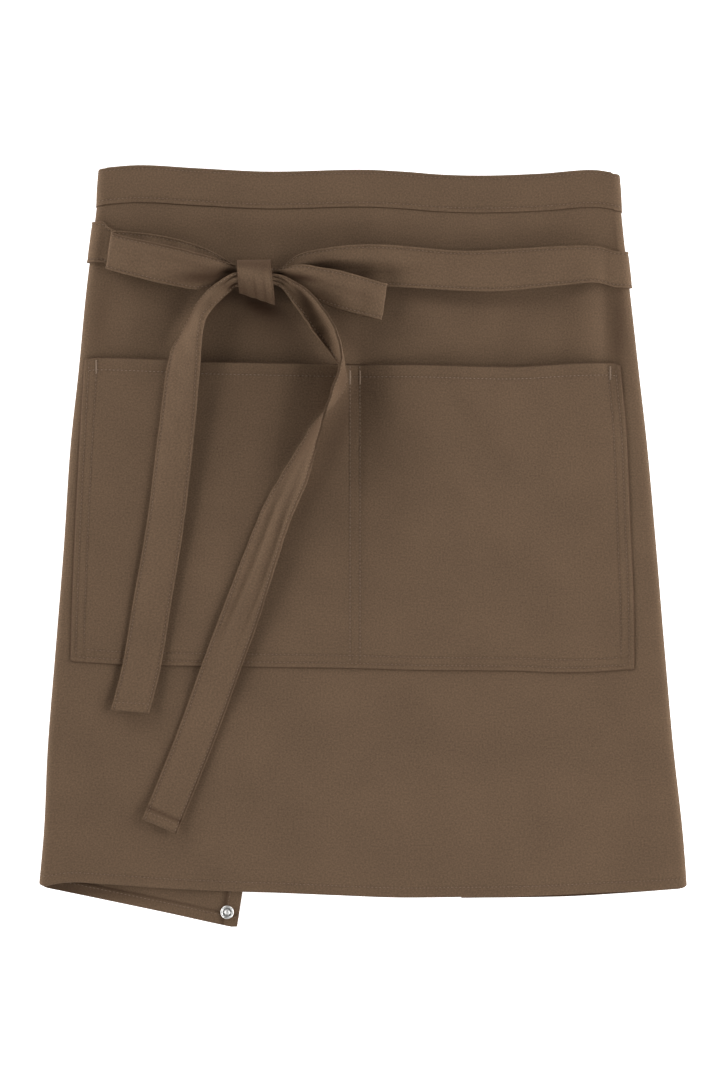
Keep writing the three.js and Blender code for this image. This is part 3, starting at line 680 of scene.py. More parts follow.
class ApronSizes(bpy.types.PropertyGroup):
    """Sizes and colours that a user would change."""

    cloth: FloatProperty(
        name="Cloth", description="Thickness of the single cloth", default=0.0008, unit="LENGTH")
    band_leaf: FloatProperty(
        name="Waistband", description="Thickness of one leaf of the waistband", default=0.0006, unit="LENGTH")
    turned: FloatProperty(
        name="Turned Hem", description="Thickness that a turned hem adds inside", default=0.0005,
        unit="LENGTH")
    hem: FloatProperty(
        name="Hem", description="Depth of the lower hem", default=0.0085, unit="LENGTH")
    side_hem: FloatProperty(
        name="Side Hem", description="Depth of the flaps' side hems", default=0.0105, unit="LENGTH")
    stitch_pitch: FloatProperty(
        name="Stitch Pitch", description="From one stitch to the next", default=0.003, unit="LENGTH")
    stitch_length: FloatProperty(
        name="Stitch", description="Length of one stitch", default=0.0019, unit="LENGTH")
    thread_radius: FloatProperty(
        name="Thread", description="Half the thickness of the thread", default=0.00027, unit="LENGTH")
    twill_pitch: FloatProperty(
        name="Twill", description="From one rib of the weave to the next", default=0.0009, unit="LENGTH")
    cloth_colour: FloatVectorProperty(
        name="Cloth Colour", description="Colour of the cloth", default=(0.120, 0.0752, 0.0445),
        subtype="COLOR")
    thread_colour: FloatVectorProperty(
        name="Thread Colour", description="Colour of the seams' thread", default=(0.150, 0.096, 0.059),
        subtype="COLOR")
    tack_colour: FloatVectorProperty(
        name="Tack Colour", description="Colour of the bar tacks' thread", default=(0.215, 0.148, 0.100),
        subtype="COLOR")
    stud_colour: FloatVectorProperty(
        name="Stud Colour", description="Colour of the press stud", default=(0.80, 0.80, 0.79),
        subtype="COLOR")


class ApronStage(bpy.types.PropertyGroup):
    """Floor, light and camera."""

    camera_height: FloatProperty(
        name="Camera Height", description="Height of the camera over the floor", default=2.0, unit="LENGTH")
    frame_height: FloatProperty(
        name="Frame Height", description="Length of floor that the picture shows", default=0.819,
        unit="LENGTH")
    floor_colour: FloatVectorProperty(
        name="Floor", description="Colour of the floor", default=(0.92, 0.92, 0.92), subtype="COLOR")
    floor_glow: FloatProperty(
        name="Floor Glow", description="Light that the floor gives of itself", default=0.9)
    light: FloatProperty(
        name="Light", description="Power of the softboxes against their usual power", default=0.915)
    softbox: FloatProperty(
        name="Softbox", description="Side of each softbox", default=0.9, unit="LENGTH")
    distance: FloatProperty(
        name="Light Distance", description="From the apron to each softbox", default=1.7, unit="LENGTH")
    ambient: FloatProperty(
        name="Ambient", description="Strength of the light from all round", default=0.05)


def size(name):
    """One of the apron's sizes, in millimetres."""
    return getattr(bpy.context.scene.apron_sizes, name) / MM


def material_named(name, maker, colour, *values):
    return bpy.data.materials.get(name) or maker(name, colour, *values)


def cloth_twill(name, factor):
    sizes = bpy.context.scene.apron_sizes
    return material_named(name, twill, shade(sizes.cloth_colour, factor), sizes.twill_pitch)


def sewing_thread(name, colour, factor=1.0):
    return material_named(name, thread, shade(colour, factor), bpy.context.scene.apron_sizes.stitch_length)


# Distances from the hem and from a flap's free edge where the panel's grid has lines
HEM_LINES = [0, 0.5, 1.5, 4, 6, 6.7, 7.1, 7.6, 8.2, 9, 10.5, 14, 20]
EDGE_LINES = [0, 0.6, 2, 5, 8, 9, 9.6, 10.2, 11, 13, 18]
# Lengths of the panel's parts that those lines are measured against, and the longest steps between lines
PANEL_LENGTH, FLAP_WIDTH, FRONT_WIDTH = 508.0, 170.0, 430.0
PANEL_STEP, FLAP_STEP, FRONT_STEP = 3.7, 5.5, 3.0
FOLD_ANGLES = np.linspace(-78, 78, 13)
HEM_CORNER = 3.2
# Seams: from the hem, and inside the edge of a side hem
HEM_SEAM, SIDE_SEAM = 7.0, 1.5


def panel_wall():
    """The panel: the left flap, the left fold, the front, the right fold and the right flap.

    One way of the grid runs round the body, the other from the hem to the waist. Both are drawn out between
    the edges in the tables, and the heights come from front_z, back_z and the ellipses of the folds.
    """
    level = np.append(spread([*HEM_LINES, PANEL_LENGTH], PANEL_STEP) / PANEL_LENGTH, 2.0)[None, :]
    flap = (spread([*EDGE_LINES, FLAP_WIDTH], FLAP_STEP) / FLAP_WIDTH)[:, None]
    bend = FOLD_ANGLES[:, None]
    stops = [0, 4, 10, FRONT_WIDTH / 2, FRONT_WIDTH - 10, FRONT_WIDTH - 4, FRONT_WIDTH]
    front = (spread(stops, FRONT_STEP) / FRONT_WIDTH)[:, None]

    def heights(hem, x, back_share):
        top = WAIST(x) - BAND_CAP - BACK_DROP * back_share
        return np.where(level > 1, top, lerp(hem, top - BAND_DEPTH + BAND_CAP, level))

    def laid(across, hem, back_share, height):
        guess = across(lerp(*ROUGH_REACH, level))
        y = heights(hem(guess), guess, back_share)
        x = across(y)
        return place(x, y, height(x, y))

    def flap_part(side, part):
        def across(y):
            return lerp(flap_edge_x(side, y), side_x(side, y) - side * ROLL, part)
        return laid(across, FLAP_HEMS[side], 1, back_z)

    def front_part(part):
        def across(y):
            return lerp(side_x(-1, y) + ROLL, side_x(1, y) - ROLL, part)
        return laid(across, HEM, 0, front_z)

    def fold_part(side, angle):
        guess = side_x(side, lerp(*ROUGH_REACH, level))
        rise, out = np.sin(np.radians(angle)), np.cos(np.radians(angle))
        x = guess - side * ROLL * (1 - out)
        hem = lerp(HEM(x), FLAP_HEMS[side](x), (1 - rise) / 2) + HEM_CORNER * (1 - np.abs(rise))
        return fold_point(side, angle, heights(hem, guess, (1 - rise) / 2))

    middle = np.concatenate([flap_part(-1, flap), fold_part(-1, bend), front_part(front),
                             fold_part(1, bend[::-1]), flap_part(1, flap[::-1])])
    from_hem, run = run_along(middle, 1), run_along(middle)
    from_edge = np.minimum(run, run[-1] - run)
    hem, side_hem, half = size("hem"), size("side_hem"), size("cloth") / 2
    seam = side_hem - SIDE_SEAM
    flat = np.minimum(soft(from_hem, hem - 0.6, hem + 0.2), soft(from_edge, side_hem - 0.6, side_hem + 0.2))
    sewn = np.maximum(bell(from_hem, HEM_SEAM, 0.7), bell(from_edge, seam, 0.7))
    wave = 0.16 * pucker(run, from_hem - HEM_SEAM) + 0.12 * pucker(from_hem, from_edge - seam)
    from_end = np.minimum(counted(middle), counted(middle)[::-1])[:, None]
    # Painted shade: dark lines at the edges of the turned hems, and painted shadows on the flaps and the
    # front.
    hem_line = 0.5 * bell(from_hem, hem + 0.4, 0.7) + 0.7 * bell(from_edge, side_hem + 0.4, 0.7)
    x, y = middle[..., 0], middle[..., 1]
    tucked = (hem_line + long_bumps(x, y, FLAP_PAINTED_SHADOWS)) * (from_end < len(flap))
    tucked = tucked + long_bumps(x, y, PAINTED_SHADOWS) * (from_end >= len(flap) + len(bend))
    over, under = half - 0.12 * sewn + wave, half + size("turned") * (1 - flat) - 0.1 * sewn - wave
    wall = Wall(middle, over, under, tucked=tucked)
    wall.run, wall.from_hem = run, from_hem
    return wall


# Heights up the waistband where its grid has lines, and of its two seams
BAND_LINES = [0, 0.7, 2, 2.7, 3.3, 4, 6, 20, 23, 24, 24.7, 25.4, 26.2]
BAND_STEP = 4.0
BAND_SEAMS = (3.0, 24.7)
BAND_BEND = np.radians(np.linspace(75, -75, 7))
# Stands for the height of the places that go over the edge
OVER_EDGE = 99.0


def waistband_wall(panel):
    """Waistband: a strip folded over the panel's top edge.

    Its middle is a line up the outside of the cloth, half an ellipse over the edge, and a line down the
    inside, carried round the body along the panel's two uppermost lines of points.
    """
    low, high, out = panel.middle[:, -2], panel.middle[:, -1], panel.normal[:, -2]
    leaf, depth = size("band_leaf"), BAND_DEPTH - BAND_CAP
    off = (size("cloth") + leaf) / 2 + 0.05
    rise = spread([*BAND_LINES, depth], BAND_STEP)
    flat, bend = np.ones(len(rise)), np.ones(len(BAND_BEND))
    line = np.concatenate([rise / depth, bend, rise[::-1] / depth])[:, None]
    away = off * np.concatenate([flat, np.sin(BAND_BEND), -flat])[:, None]
    crest = (BAND_CAP - leaf / 2) * np.concatenate([0 * flat, np.cos(BAND_BEND), 0 * flat])[:, None]
    height = np.concatenate([rise, OVER_EDGE * bend, rise[::-1]])
    on_leaf = height < OVER_EDGE
    run = run_along(low)[:, None]
    first, second = BAND_SEAMS
    wave = 0.22 * pucker(run, height - first, 9) + 0.15 * pucker(run + 40, height - second, 6)
    puffed = 0.21 * np.sin(np.pi * np.clip((height - first) / (second - first), 0, 1)) ** 0.7
    sewn = bell(height, first, 0.6) + bell(height, second, 0.6)
    middle = lerp(low[:, None], high[:, None], line) + out[:, None] * away + unit(high - low)[:, None] * crest
    over = leaf / 2 + (puffed + wave) * on_leaf - 0.14 * sewn
    # Painted shade: a faint darkening along both seams; the rim gets its painted shade in add_cloth.
    wall = Wall(middle, over, leaf / 2, rim=0.8, tucked=0.08 * sewn)
    wall.height = height
    return wall


# Distances from the pocket's edges, and along its width at the parting, where its grid has lines
POCKET_LINES = np.array([0, 0.6, 1.6, 2.6, 3.0, 3.5, 5, 7.6, 8.4, 8.9, 9.4, 10.4, 12, 16])
PARTING_LINES = [198, 199.7, 200.6, 201.4, 204, 206.6, 207.6, 208.5, 210]
POCKET_STEP = 2.6
POCKET_WIDTH, POCKET_HEIGHT = 410.0, 228.0
# Seams and where the turned hems end, from the edges, and the middle of the patch above the front's middle
POCKET_SEAMS = (3.0, 8.9)
MOUTH_SEAM = 8.2
POCKET_HEM, MOUTH_HEM = (10.2, 11.0), (9.5, 10.3)
POCKET_SEAT = 1.15


def pocket_wall():
    """Pocket patch on its own parts of width and height, off the front by puff, with its hems turned in."""
    ends = POCKET_WIDTH - POCKET_LINES[::-1], POCKET_HEIGHT - POCKET_LINES[::-1]
    u = spread([*POCKET_LINES, *PARTING_LINES, *ends[0]], POCKET_STEP) / POCKET_WIDTH
    v = spread([*POCKET_LINES, *ends[1]], POCKET_STEP) / POCKET_HEIGHT
    x, y = pocket_place(u[:, None], v[None, :])
    left, right = pocket_sides(y)
    foot, mouth = pocket_ends(x)
    from_side, from_foot, from_mouth = np.minimum(x - left, right - x), y - foot, mouth - y
    sewn = sum(bell(from_side, d, 0.7) + bell(from_foot, d, 0.7) for d in POCKET_SEAMS)
    sewn = sewn + sum(bell(x, d, 0.8) for d in PARTING) + 0.8 * bell(from_mouth, MOUTH_SEAM, 0.8)
    sewn = np.minimum(sewn, 1)
    from_edge = np.minimum(from_side, from_foot)
    turned_in = 1 - np.minimum(soft(from_edge, *POCKET_HEM), soft(from_mouth, *MOUTH_HEM))
    wave = 0.22 * pucker(y, from_side - 6) + 0.24 * pucker(x, from_foot - 6)
    wave = wave + 0.14 * pucker(x + 50, from_mouth - 8) + 0.2 * pucker(y + 30, x - sum(PARTING) / 2, 9)
    half = size("cloth") / 2
    middle = place(x, y, front_z(x, y) + POCKET_SEAT + puff(x, y))
    over, under = half + 0.1 * turned_in - 0.18 * sewn + wave, half + 0.3 * turned_in
    # Painted shade: painted shadows from the table and a faint darkening along the seams.
    wall = Wall(middle, over, under, rim=1.1, tucked=long_bumps(x, y, PAINTED_SHADOWS) + 0.09 * sewn)
    wall.u, wall.v, wall.width, wall.height = u, v, right - left, mouth - foot
    return wall


# Distances from a tie's edges where its grid has lines, fine there for the seam and the rolled edge
TIE_WIDTH = 28.5
TIE_LINES = np.array([0, 0.35, 0.9, 1.6, 2.1, 2.6, 3.4, 4.6, 6, 7.6, 9.2, 10.8, 12.5])
TIE_PARTS = np.concatenate([TIE_LINES, [TIE_WIDTH / 2], (TIE_WIDTH - TIE_LINES)[::-1]]) / TIE_WIDTH
TIE_STEP = 1.2
# Seam and slit from the edges, depth of the tails' turned ends and the seam inside that
TIE_SEAM, SLIT, TIE_HEM, TIE_END_SEAM = 2.1, 0.9, 8.5, 2.0
# How far a tail's end curls, and how deep a dent sinks whose last column is 1; that column also sets its
# painted shade
CURL_REACH = 22.0
HOLLOW_DEPTH = 1.3
# Keeps the puckers of one tie from those of the next
TIE_SHIFT = 137.0


def tie_wall(middle, dents_and_shadows, start=0.0, hem=0, slit=(0, 0.0)):
    """A strip folded double: full between its edges, pressed in along both seams, a slit along each edge.

    With hem 1 or -1 its last end is turned over on the upper or on the lower face. A slit of 1 or -1 and a
    part of the length says that the second or the first edge is rolled from there on, so that the slit
    shows above.
    """
    run = run_along(middle[:, len(TIE_LINES)])[:, None] + start
    from_edge = np.minimum(TIE_PARTS, 1 - TIE_PARTS) * TIE_WIDTH
    full = 0.86 + 0.14 * soft(from_edge, 3, 9) + 0.36 * bell(from_edge, 0.5, 0.75)
    half = STRAP / 2 * (full - 0.3 * bell(from_edge, TIE_SEAM, 0.6))
    wave = 0.12 * pucker(run, from_edge - 1, 3.5) * np.where(TIE_PARTS < 0.5, 1, -1)
    end = run[-1] - run
    turned_end = 0.8 * (1 - soft(end, TIE_HEM - 0.7, TIE_HEM)) - 0.25 * bell(end, TIE_HEM + 0.6, 0.7)
    pressed = 0.3 * bell(end, TIE_HEM - TIE_END_SEAM, 0.7) if hem else 0
    rolled = bell(from_edge, SLIT, 0.4) * (slit[0] * (TIE_PARTS - 0.5) > 0)
    rolled = rolled * (run >= lerp(run[0], run[-1], slit[1]))
    over = half + wave - pressed - 0.3 * rolled + turned_end * (hem > 0)
    under = half - wave - pressed + turned_end * (hem < 0)
    # Painted shade: a dark line at the edge of the turned end, along both seams and in the rolled slit, and
    # painted shadows from the tables.
    tucked = 0.75 * bell(end, TIE_HEM + 0.6, 0.8) * (hem > 0) + 0.24 * bell(from_edge, TIE_SEAM, 0.6)
    tucked = tucked + 0.7 * rolled + long_bumps(middle[..., 0], middle[..., 1], *dents_and_shadows)
    wall = Wall(middle, over, under, rim=-0.85, tucked=tucked)
    wall.run = run[:, 0]
    return wall


def gathers(x, w):
    """Creases that run out of the knot along a tie and die away: a wave across its width w."""
    away = np.maximum(np.abs(x - KNOT["x"]) - KNOT["half"], 0)
    wave = np.sin(2 * np.pi * (GATHERED["waves"] * w + 0.15 * np.sin(x / 9)))
    return GATHERED["height"] * np.exp(-away / GATHERED["reach"]) * wave


def strap_middle(rows, dents_and_shadows, crest=None, curl=0.0):
    """Strap through a table of sections: straight between edges a and b, bulged along their common normal.

    The bulge is w to the power 2p times 1 - w to the power 2 - 2p, made 1 at its highest place p across.
    The last end is curled up by a parabola, and the hollows sink into the strap where it faces up.
    """
    rough = np.linspace(0, rows.last, 200)
    length = np.hypot(*(np.diff(rows.read("n", key, rough)) for key in ("ax", "ay"))).sum()
    n = np.linspace(0, rows.last, max(int(length / TIE_STEP), 40))

    def edge(e):
        x, y = rows.read("n", e + "x", n), rows.read("n", e + "y", n)
        return place(x, y, ground_z(x, y) + rows.read("n", e + "z", n))

    a, b = edge("a"), edge("b")
    run = run_along((a + b) / 2)
    lifted_end = curl * np.maximum(1 - (run[-1] - run) / CURL_REACH, 0) ** 2
    a[:, 2] += lifted_end
    b[:, 2] += lifted_end
    out = unit(np.cross(np.gradient((a + b) / 2, axis=0), b - a))[:, None]
    w = TIE_PARTS[:, None]
    p = (crest(n) if crest else np.full(len(n), 0.5))[:, None, None]
    hump = (w / p) ** (2 * p) * ((1 - w) / (1 - p)) ** (2 - 2 * p)
    flat = lerp(a[:, None], b[:, None], w)
    x, y = flat[..., 0], flat[..., 1]
    crease = gathers((a + b)[:, None, 0] / 2, TIE_PARTS) + crumples(x, y)
    crease = crease - HOLLOW_DEPTH * long_bumps(x, y, dents_and_shadows) * (out[..., 2] > 0)
    return flat + out * (rows.read("n", "bulge", n)[:, None, None] * hump + crease[..., None])


def band_middle(side, rows):
    """Tie from the waistband's end: back under the flap, out to the side, round the fold, over the front."""
    w = TIE_PARTS
    first = {name: values[0] for name, values in rows.columns.items()}
    root, floor = (ROOT["top"], ROOT["bottom"]), ROOT["floor"]
    root_z = float(back_z(np.array(side * ROOT["x"]), np.array(ROOT["top"])))
    bend = (root_z - floor) / 2
    turn = np.radians(np.linspace(90, -90, 9))[:, None]
    parts = [place(np.array([[side * ROOT["x"]]]), lerp(*root, w), root_z),
             place(side * (ROOT["turn"] - bend * np.cos(turn)), lerp(*root, w),
                   (root_z + floor) / 2 + bend * np.sin(turn))]
    part = np.concatenate([np.linspace(0.02, 0.7, 40), np.linspace(0.72, 0.985, 22)])[:, None]
    y = lerp(lerp(root[0], first["top"], part), lerp(root[1], first["bottom"], part), w)
    x = lerp(side * ROOT["turn"], side_x(side, y) - side * ROLL, part)
    on_fold = back_z(x, y) - first["rise"]
    parts.append(place(x, y, np.maximum(floor, lerp(floor, on_fold, soft(part, 0.7, 1)))))
    angle = np.linspace(-90, 90, 19)[:, None]
    parts.append(fold_point(side, angle, lerp(first["top"], first["bottom"], w), first["rise"]))
    reach = abs(rows.columns["x"][-1] - rows.columns["x"][0])
    n = np.linspace(0, rows.last, int(reach / TIE_STEP))[1:, None]
    x = rows.read("n", "x", n)
    y = lerp(rows.read("n", "top", n), rows.read("n", "bottom", n), w)
    z = front_z(x, y) + rows.read("n", "rise", n) + 0.7 * gathers(x, w) + 0.6 * crumples(x, y)
    if side > 0:
        high, low = BAND_ROLL.read("x", "high", x), BAND_ROLL.read("x", "low", x)
        z = z + high - (high + low) * soft(w, 0.36, 0.6)
    parts.append(place(x, y, z))
    middle = np.concatenate(parts)
    return middle[:, ::-1] if side < 0 else middle


def knot_wall():
    """Turn of tie round the bow: a ring, round above and flatter below, drawn out from left to right.

    Soft pleats run round it, its crown falls away to both rims and it leans over. Painted shade darkens the
    slopes above and below its crest, and the pleats.
    above and below its crest, and the pleats.
    """
    ground = float(ground_z(np.array(KNOT["x"]), np.array(KNOT["middle"]))) + KNOT["clear"] + STRAP / 2
    turn = np.linspace(0, 2 * np.pi, 120, endpoint=False)[:, None]
    square = np.where(np.sin(turn) >= 0, KNOT["crown"], KNOT["seat"])

    def bent(value):
        return np.sign(value) * np.abs(value) ** (2 / square)

    x = np.linspace(WRAP.columns["x"][0], WRAP.columns["x"][-1], 3 * len(TIE_PARTS))[None, :]
    pleat = sum(height * bell(x, px, breadth) for px, breadth, height in PLEATS.rows())
    up = np.cos(turn)
    low = soft(-up, -0.7, 0.5)
    reach = WRAP.read("x", "reach", x) + pleat * low * 0.4
    from_rim = np.minimum(x - x.min(), x.max() - x)
    fall = KNOT["fall"] * (1 - soft(from_rim, 0, KNOT["rim"])) - KNOT["lip"] * bell(from_rim, 0, 0.9)
    depth = WRAP.read("x", "depth", x) + pleat * low - fall * soft(np.sin(turn), 0, 0.6)
    y = WRAP.read("x", "middle", x) + reach * bent(up)
    z = ground + KNOT["height"] / 2 + depth * bent(np.sin(turn))
    leaning = KNOT["x"] + (x - KNOT["x"]) * (0.94 - 0.03 * up) - KNOT["lean"] * up
    # Painted shade on the slopes above and below the crest, which runs across the knot, and in the pleats'
    # hollows.
    crest = lerp(0.36, 0.02, (x - x.min()) / (x.max() - x.min()))
    slopes = soft(up, crest, 0.8) + soft(-up, 0.05 - crest, 1)
    return Wall(place(leaning, y, z), STRAP / 2, STRAP / 2, rim=0.45, ring=True,
                tucked=0.62 * slopes + 0.2 * low * np.maximum(-pleat, 0))


def stud_profile():
    """Outline of the stud: a cap under the cloth, a post through it and a rolled, dished ring above.

    Each row is a radius and a height, from the middle below round to the middle above.
    """
    under = float(back_z(np.array(SNAP["x"]), np.array(SNAP["y"]))) - CLOTH / 2
    over = under + CLOTH + GAP
    r, post = SNAP["radius"], SNAP["post"]
    rim, boss = np.radians(np.linspace(-60, 200, 14)), np.radians(np.linspace(0, 180, 9))
    ring = np.stack([r - 0.75 + 0.75 * np.cos(rim), over + 0.85 + 0.72 * np.sin(rim)], -1)
    crown = np.stack([1.45 + 0.5 * np.cos(boss), over + 1.35 + 0.5 * np.sin(boss)], -1)
    return np.concatenate([
        [(0.02, 0.05), (2, 0.05), (3.6, 0.06), (4.4, 0.2), (4.8, 0.45), (r - 0.1, under - GAP),
         (post, under - GAP), (post, over), (3.9, over)],
        ring, [(3.4, over + 0.5), (3.0, over + 0.42), (2.2, over + 0.45)],
        crown, [(0.9, over + 1.0), (0.02, over + 1.0)],
    ])


def turned(profile, x, y, count=64, lid=True):
    """Surface of a profile turned about an upright line.

    Small facets close it at its first end and, with a lid, at its last.
    """
    angle = np.linspace(0, 2 * np.pi, count, endpoint=False)[:, None]
    radius, height = profile.T
    points = place(x + radius * np.cos(angle), y + radius * np.sin(angle), height)
    rows, cols = points.shape[:2]
    ids = np.arange(rows * cols).reshape(rows, cols)
    after = np.roll(ids, -1, 0)
    quads = np.stack([ids[:, :-1], after[:, :-1], after[:, 1:], ids[:, 1:]], -1).reshape(-1, 4)
    k = np.arange(rows // 2 - 1)
    cap = np.stack([k, k + 1, rows - 2 - k, rows - 1 - k], -1)
    caps = [ids[:, 0][cap[:, ::-1]]] + ([ids[:, -1][cap]] if lid else [])
    points = points.reshape(-1, 3)
    return points, np.concatenate([quads, *caps]), points[:, :2]


def sewn_line(wall, i, j, side):
    """Stitches along a line of places in a wall's grid: their starts, ends and outward normals."""
    pitch, length = size("stitch_pitch"), size("stitch_length")
    points, out = wall.line(i, j, side)
    run = run_along(points)
    first = np.arange(pitch / 2, run[-1] - length, pitch)

    def at(distance, values):
        return np.stack([np.interp(distance, run, values[:, k]) for k in range(3)], -1)

    return at(first, points), at(first + length, points), unit(at(first + length / 2, out))


# Sections of a stitch: parts of its length, heights and thicknesses against its radius
STITCH_PARTS = np.array([0, 0.16, 0.5, 0.84, 1])
STITCH_HEIGHTS = np.array([-0.7, 0.45, 1, 0.45, -0.7])
STITCH_THICK = np.array([0.45, 0.92, 1, 0.92, 0.45])
# Corners of those square sections, and from one corner to the next, against the radius
STITCH_CORNER, STITCH_SIDE = 1.25, 1.6


def stitches(rows, radius, lift=0.55):
    """Small bent threads: five square sections along each stitch, sunk at its ends, with caps."""
    start, end, out = (np.concatenate(part) for part in zip(*rows))
    part = STITCH_PARTS[:, None]
    height = STITCH_HEIGHTS[:, None] * radius * lift
    thick = STITCH_THICK[:, None, None] * radius
    spine = lerp(start[:, None], end[:, None], part) + out[:, None] * height
    side = unit(np.cross(end - start, out))[:, None, None]
    turn = np.radians([45, 135, 225, 315])[:, None]
    corner = (np.cos(turn) * side + np.sin(turn) * out[:, None, None]) * STITCH_CORNER
    points = spine[:, :, None] + thick * corner
    ids = np.arange(points.size // 3).reshape(points.shape[:3])
    after = np.roll(ids, -1, 2)
    quads = np.stack([ids[:, :-1], ids[:, 1:], after[:, 1:], after[:, :-1]], -1).reshape(-1, 4)
    caps = np.concatenate([ids[:, 0], ids[:, -1, ::-1]])
    along = np.linalg.norm(end - start, axis=1)[:, None, None] * part
    flat = np.stack(np.broadcast_arrays(along, np.arange(4) * radius * STITCH_SIDE), -1)
    return points.reshape(-1, 3), np.concatenate([quads, caps]), flat.reshape(-1, 2)


# Walls and pieces that are made, for the seams and sheets that come after them
MADE = {}
APRON_TWILL, TIE_TWILL = ("apron_twill", 1.0), ("tie_twill", 1.03)
# Each tie's CAD node, and what the tie lies on
TIES = {
    "left_band": ("tie_left_band", "apron_panel"), "right_band": ("tie_right_band", "apron_panel"),
    "left_loop": ("bow_loop_left", "left_band_strip"), "right_loop": ("bow_loop_right", "right_band_strip"),
    "left_tail": ("tie_left_tail", "pocket_patch"), "right_tail": ("tie_right_tail", "pocket_patch"),
}


def add_cloth(key, name, wall, finish, slot, node, rim=1.0):
    """Makes a wall into a piece, marks the painted shade of its faces and, by rim, of its rim, and keeps
    both.
    """
    piece = add_piece(name, *wall.mesh_parts(), cloth_twill(*finish), slot, [node])
    wall.paint_shade(piece, rim)
    MADE[key] = wall, piece


class APRON_OT_panel(bpy.types.Operator):
    """Make the panel that goes round the body, with its turned hems"""

    bl_idname = "apron.panel"
    bl_label = "Panel"

    def execute(self, context):
        add_cloth("panel", "apron_panel", panel_wall(), APRON_TWILL, "apron_cloth", "apron_body", 0.0)
        return {"FINISHED"}


class APRON_OT_waistband(bpy.types.Operator):
    """Make the waistband folded over the panel's top edge"""

    bl_idname = "apron.waistband"
    bl_label = "Waistband"

    def execute(self, context):
        wall = waistband_wall(MADE["panel"][0])
        add_cloth("waistband", "waistband_strip", wall, APRON_TWILL, "apron_cloth", "waistband")
        return {"FINISHED"}


class APRON_OT_pocket(bpy.types.Operator):
    """Make the wide patch pocket"""

    bl_idname = "apron.pocket"
    bl_label = "Pocket"

    def execute(self, context):
        add_cloth("pocket", "pocket_patch", pocket_wall(), APRON_TWILL, "apron_cloth", "pocket")
        return {"FINISHED"}


class APRON_OT_ties(bpy.types.Operator):
    """Make the ties: their bands, the bow's loops, the knot and the tails"""

    bl_idname = "apron.ties"
    bl_label = "Ties"

    def execute(self, context):
        middles = {
            "left_band": band_middle(-1, LEFT_BAND),
            "right_band": band_middle(1, RIGHT_BAND),
            "left_loop": strap_middle(LEFT_LOOP, TIE_DENTS_AND_SHADOWS["left_loop"]),
            "right_loop": strap_middle(RIGHT_LOOP, TIE_DENTS_AND_SHADOWS["right_loop"]),
            "left_tail": strap_middle(LEFT_TAIL, TIE_DENTS_AND_SHADOWS["left_tail"], LEFT_CREST, 2.6),
            "right_tail": strap_middle(RIGHT_TAIL, TIE_DENTS_AND_SHADOWS["right_tail"], None, 2.2),
        }
        ends = {"left_loop": {"slit": (-1, 0.5)}, "left_tail": {"hem": -1},
                "right_tail": {"hem": 1, "slit": (1, 0.0)}}
        for k, (name, middle) in enumerate(middles.items()):
            dents_and_shadows = [TIE_DENTS_AND_SHADOWS[name]] if name in TIE_DENTS_AND_SHADOWS else []
            wall = tie_wall(middle, dents_and_shadows, TIE_SHIFT * k, **ends.get(name, {}))
            add_cloth(name, name + "_strip", wall, TIE_TWILL, "tie_cloth", TIES[name][0], 0.6)
        add_cloth("knot", "knot_turn", knot_wall(), TIE_TWILL, "tie_cloth", "bow_knot")
        return {"FINISHED"}


class APRON_OT_stud(bpy.types.Operator):
    """Make the press stud at the left flap's corner"""

    bl_idname = "apron.stud"
    bl_label = "Press Stud"

    def execute(self, context):
        metal = material_named("stud_metal", bright_metal, context.scene.apron_sizes.stud_colour)
        shape = turned(stud_profile(), SNAP["x"], SNAP["y"])
        add_piece("press_stud", *shape, metal, "stud_metal", ["snap_button"])
        return {"FINISHED"}


class APRON_OT_stitches(bpy.types.Operator):
    """Sew the seams and the bar tacks"""

    bl_idname = "apron.stitches"
    bl_label = "Stitches"

    def execute(self, context):
        sizes, radius = context.scene.apron_sizes, size("thread_radius")
        seam_thread = sewing_thread("seam_thread", sizes.thread_colour)
        tack_thread = sewing_thread("tack_thread", sizes.tack_colour)
        mouth_thread = sewing_thread("mouth_thread", sizes.tack_colour, 0.88)
        edges, mouth = pocket_seams()
        sew = {
            "stitches_panel": (panel_seams(), seam_thread, "apron_cloth"),
            "stitches_waistband": (waistband_seams(), seam_thread, "apron_cloth"),
            "stitches_pocket": (edges, seam_thread, "apron_cloth"),
            "stitches_mouth": (mouth, mouth_thread, "apron_cloth"),
            "stitches_ties": (tie_seams(), seam_thread, "tie_cloth"),
        }
        pieces = {name: add_piece(name, *stitches(rows, radius), material, slot)
                  for name, (rows, material, slot) in sew.items()}
        tacks = stitches(tack_rows(), radius * 1.1, 0.8)
        pieces["bar_tacks"] = add_piece("bar_tacks", *tacks, tack_thread, "apron_cloth")
        declare_sheets()
        return {"FINISHED"}


def panel_seams():
    """Hem stitches on both faces, and the flaps' side hems, which start above the hem."""
    wall, _ = MADE["panel"]
    rows, cols = counted(wall.run), counted(wall.run[0])
    inner = slice(6, -1)
    level = np.array([np.interp(HEM_SEAM, d, cols) for d in wall.from_hem])
    edge = size("side_hem") - SIDE_SEAM
    first = np.array([np.interp(edge, d, rows) for d in wall.run.T])[inner]
    last = np.array([np.interp(d[-1] - edge, d, rows) for d in wall.run.T])[inner]
    lines = [(rows, level), (first, cols[inner]), (last, cols[inner])]
    return [sewn_line(wall, *line, side) for line in lines for side in (1, -1)]


def waistband_seams():
    """Two rows on the outside and on the inside, near the lower edge and near the fold."""
    wall, _ = MADE["waistband"]
    half = len(wall.height) // 2
    lines = [np.interp(h, wall.height[:half], np.arange(half)) for h in BAND_SEAMS]
    lines += [len(wall.height) - 1 - line for line in lines]
    return [sewn_line(wall, counted(wall.middle), line, 1) for line in lines]


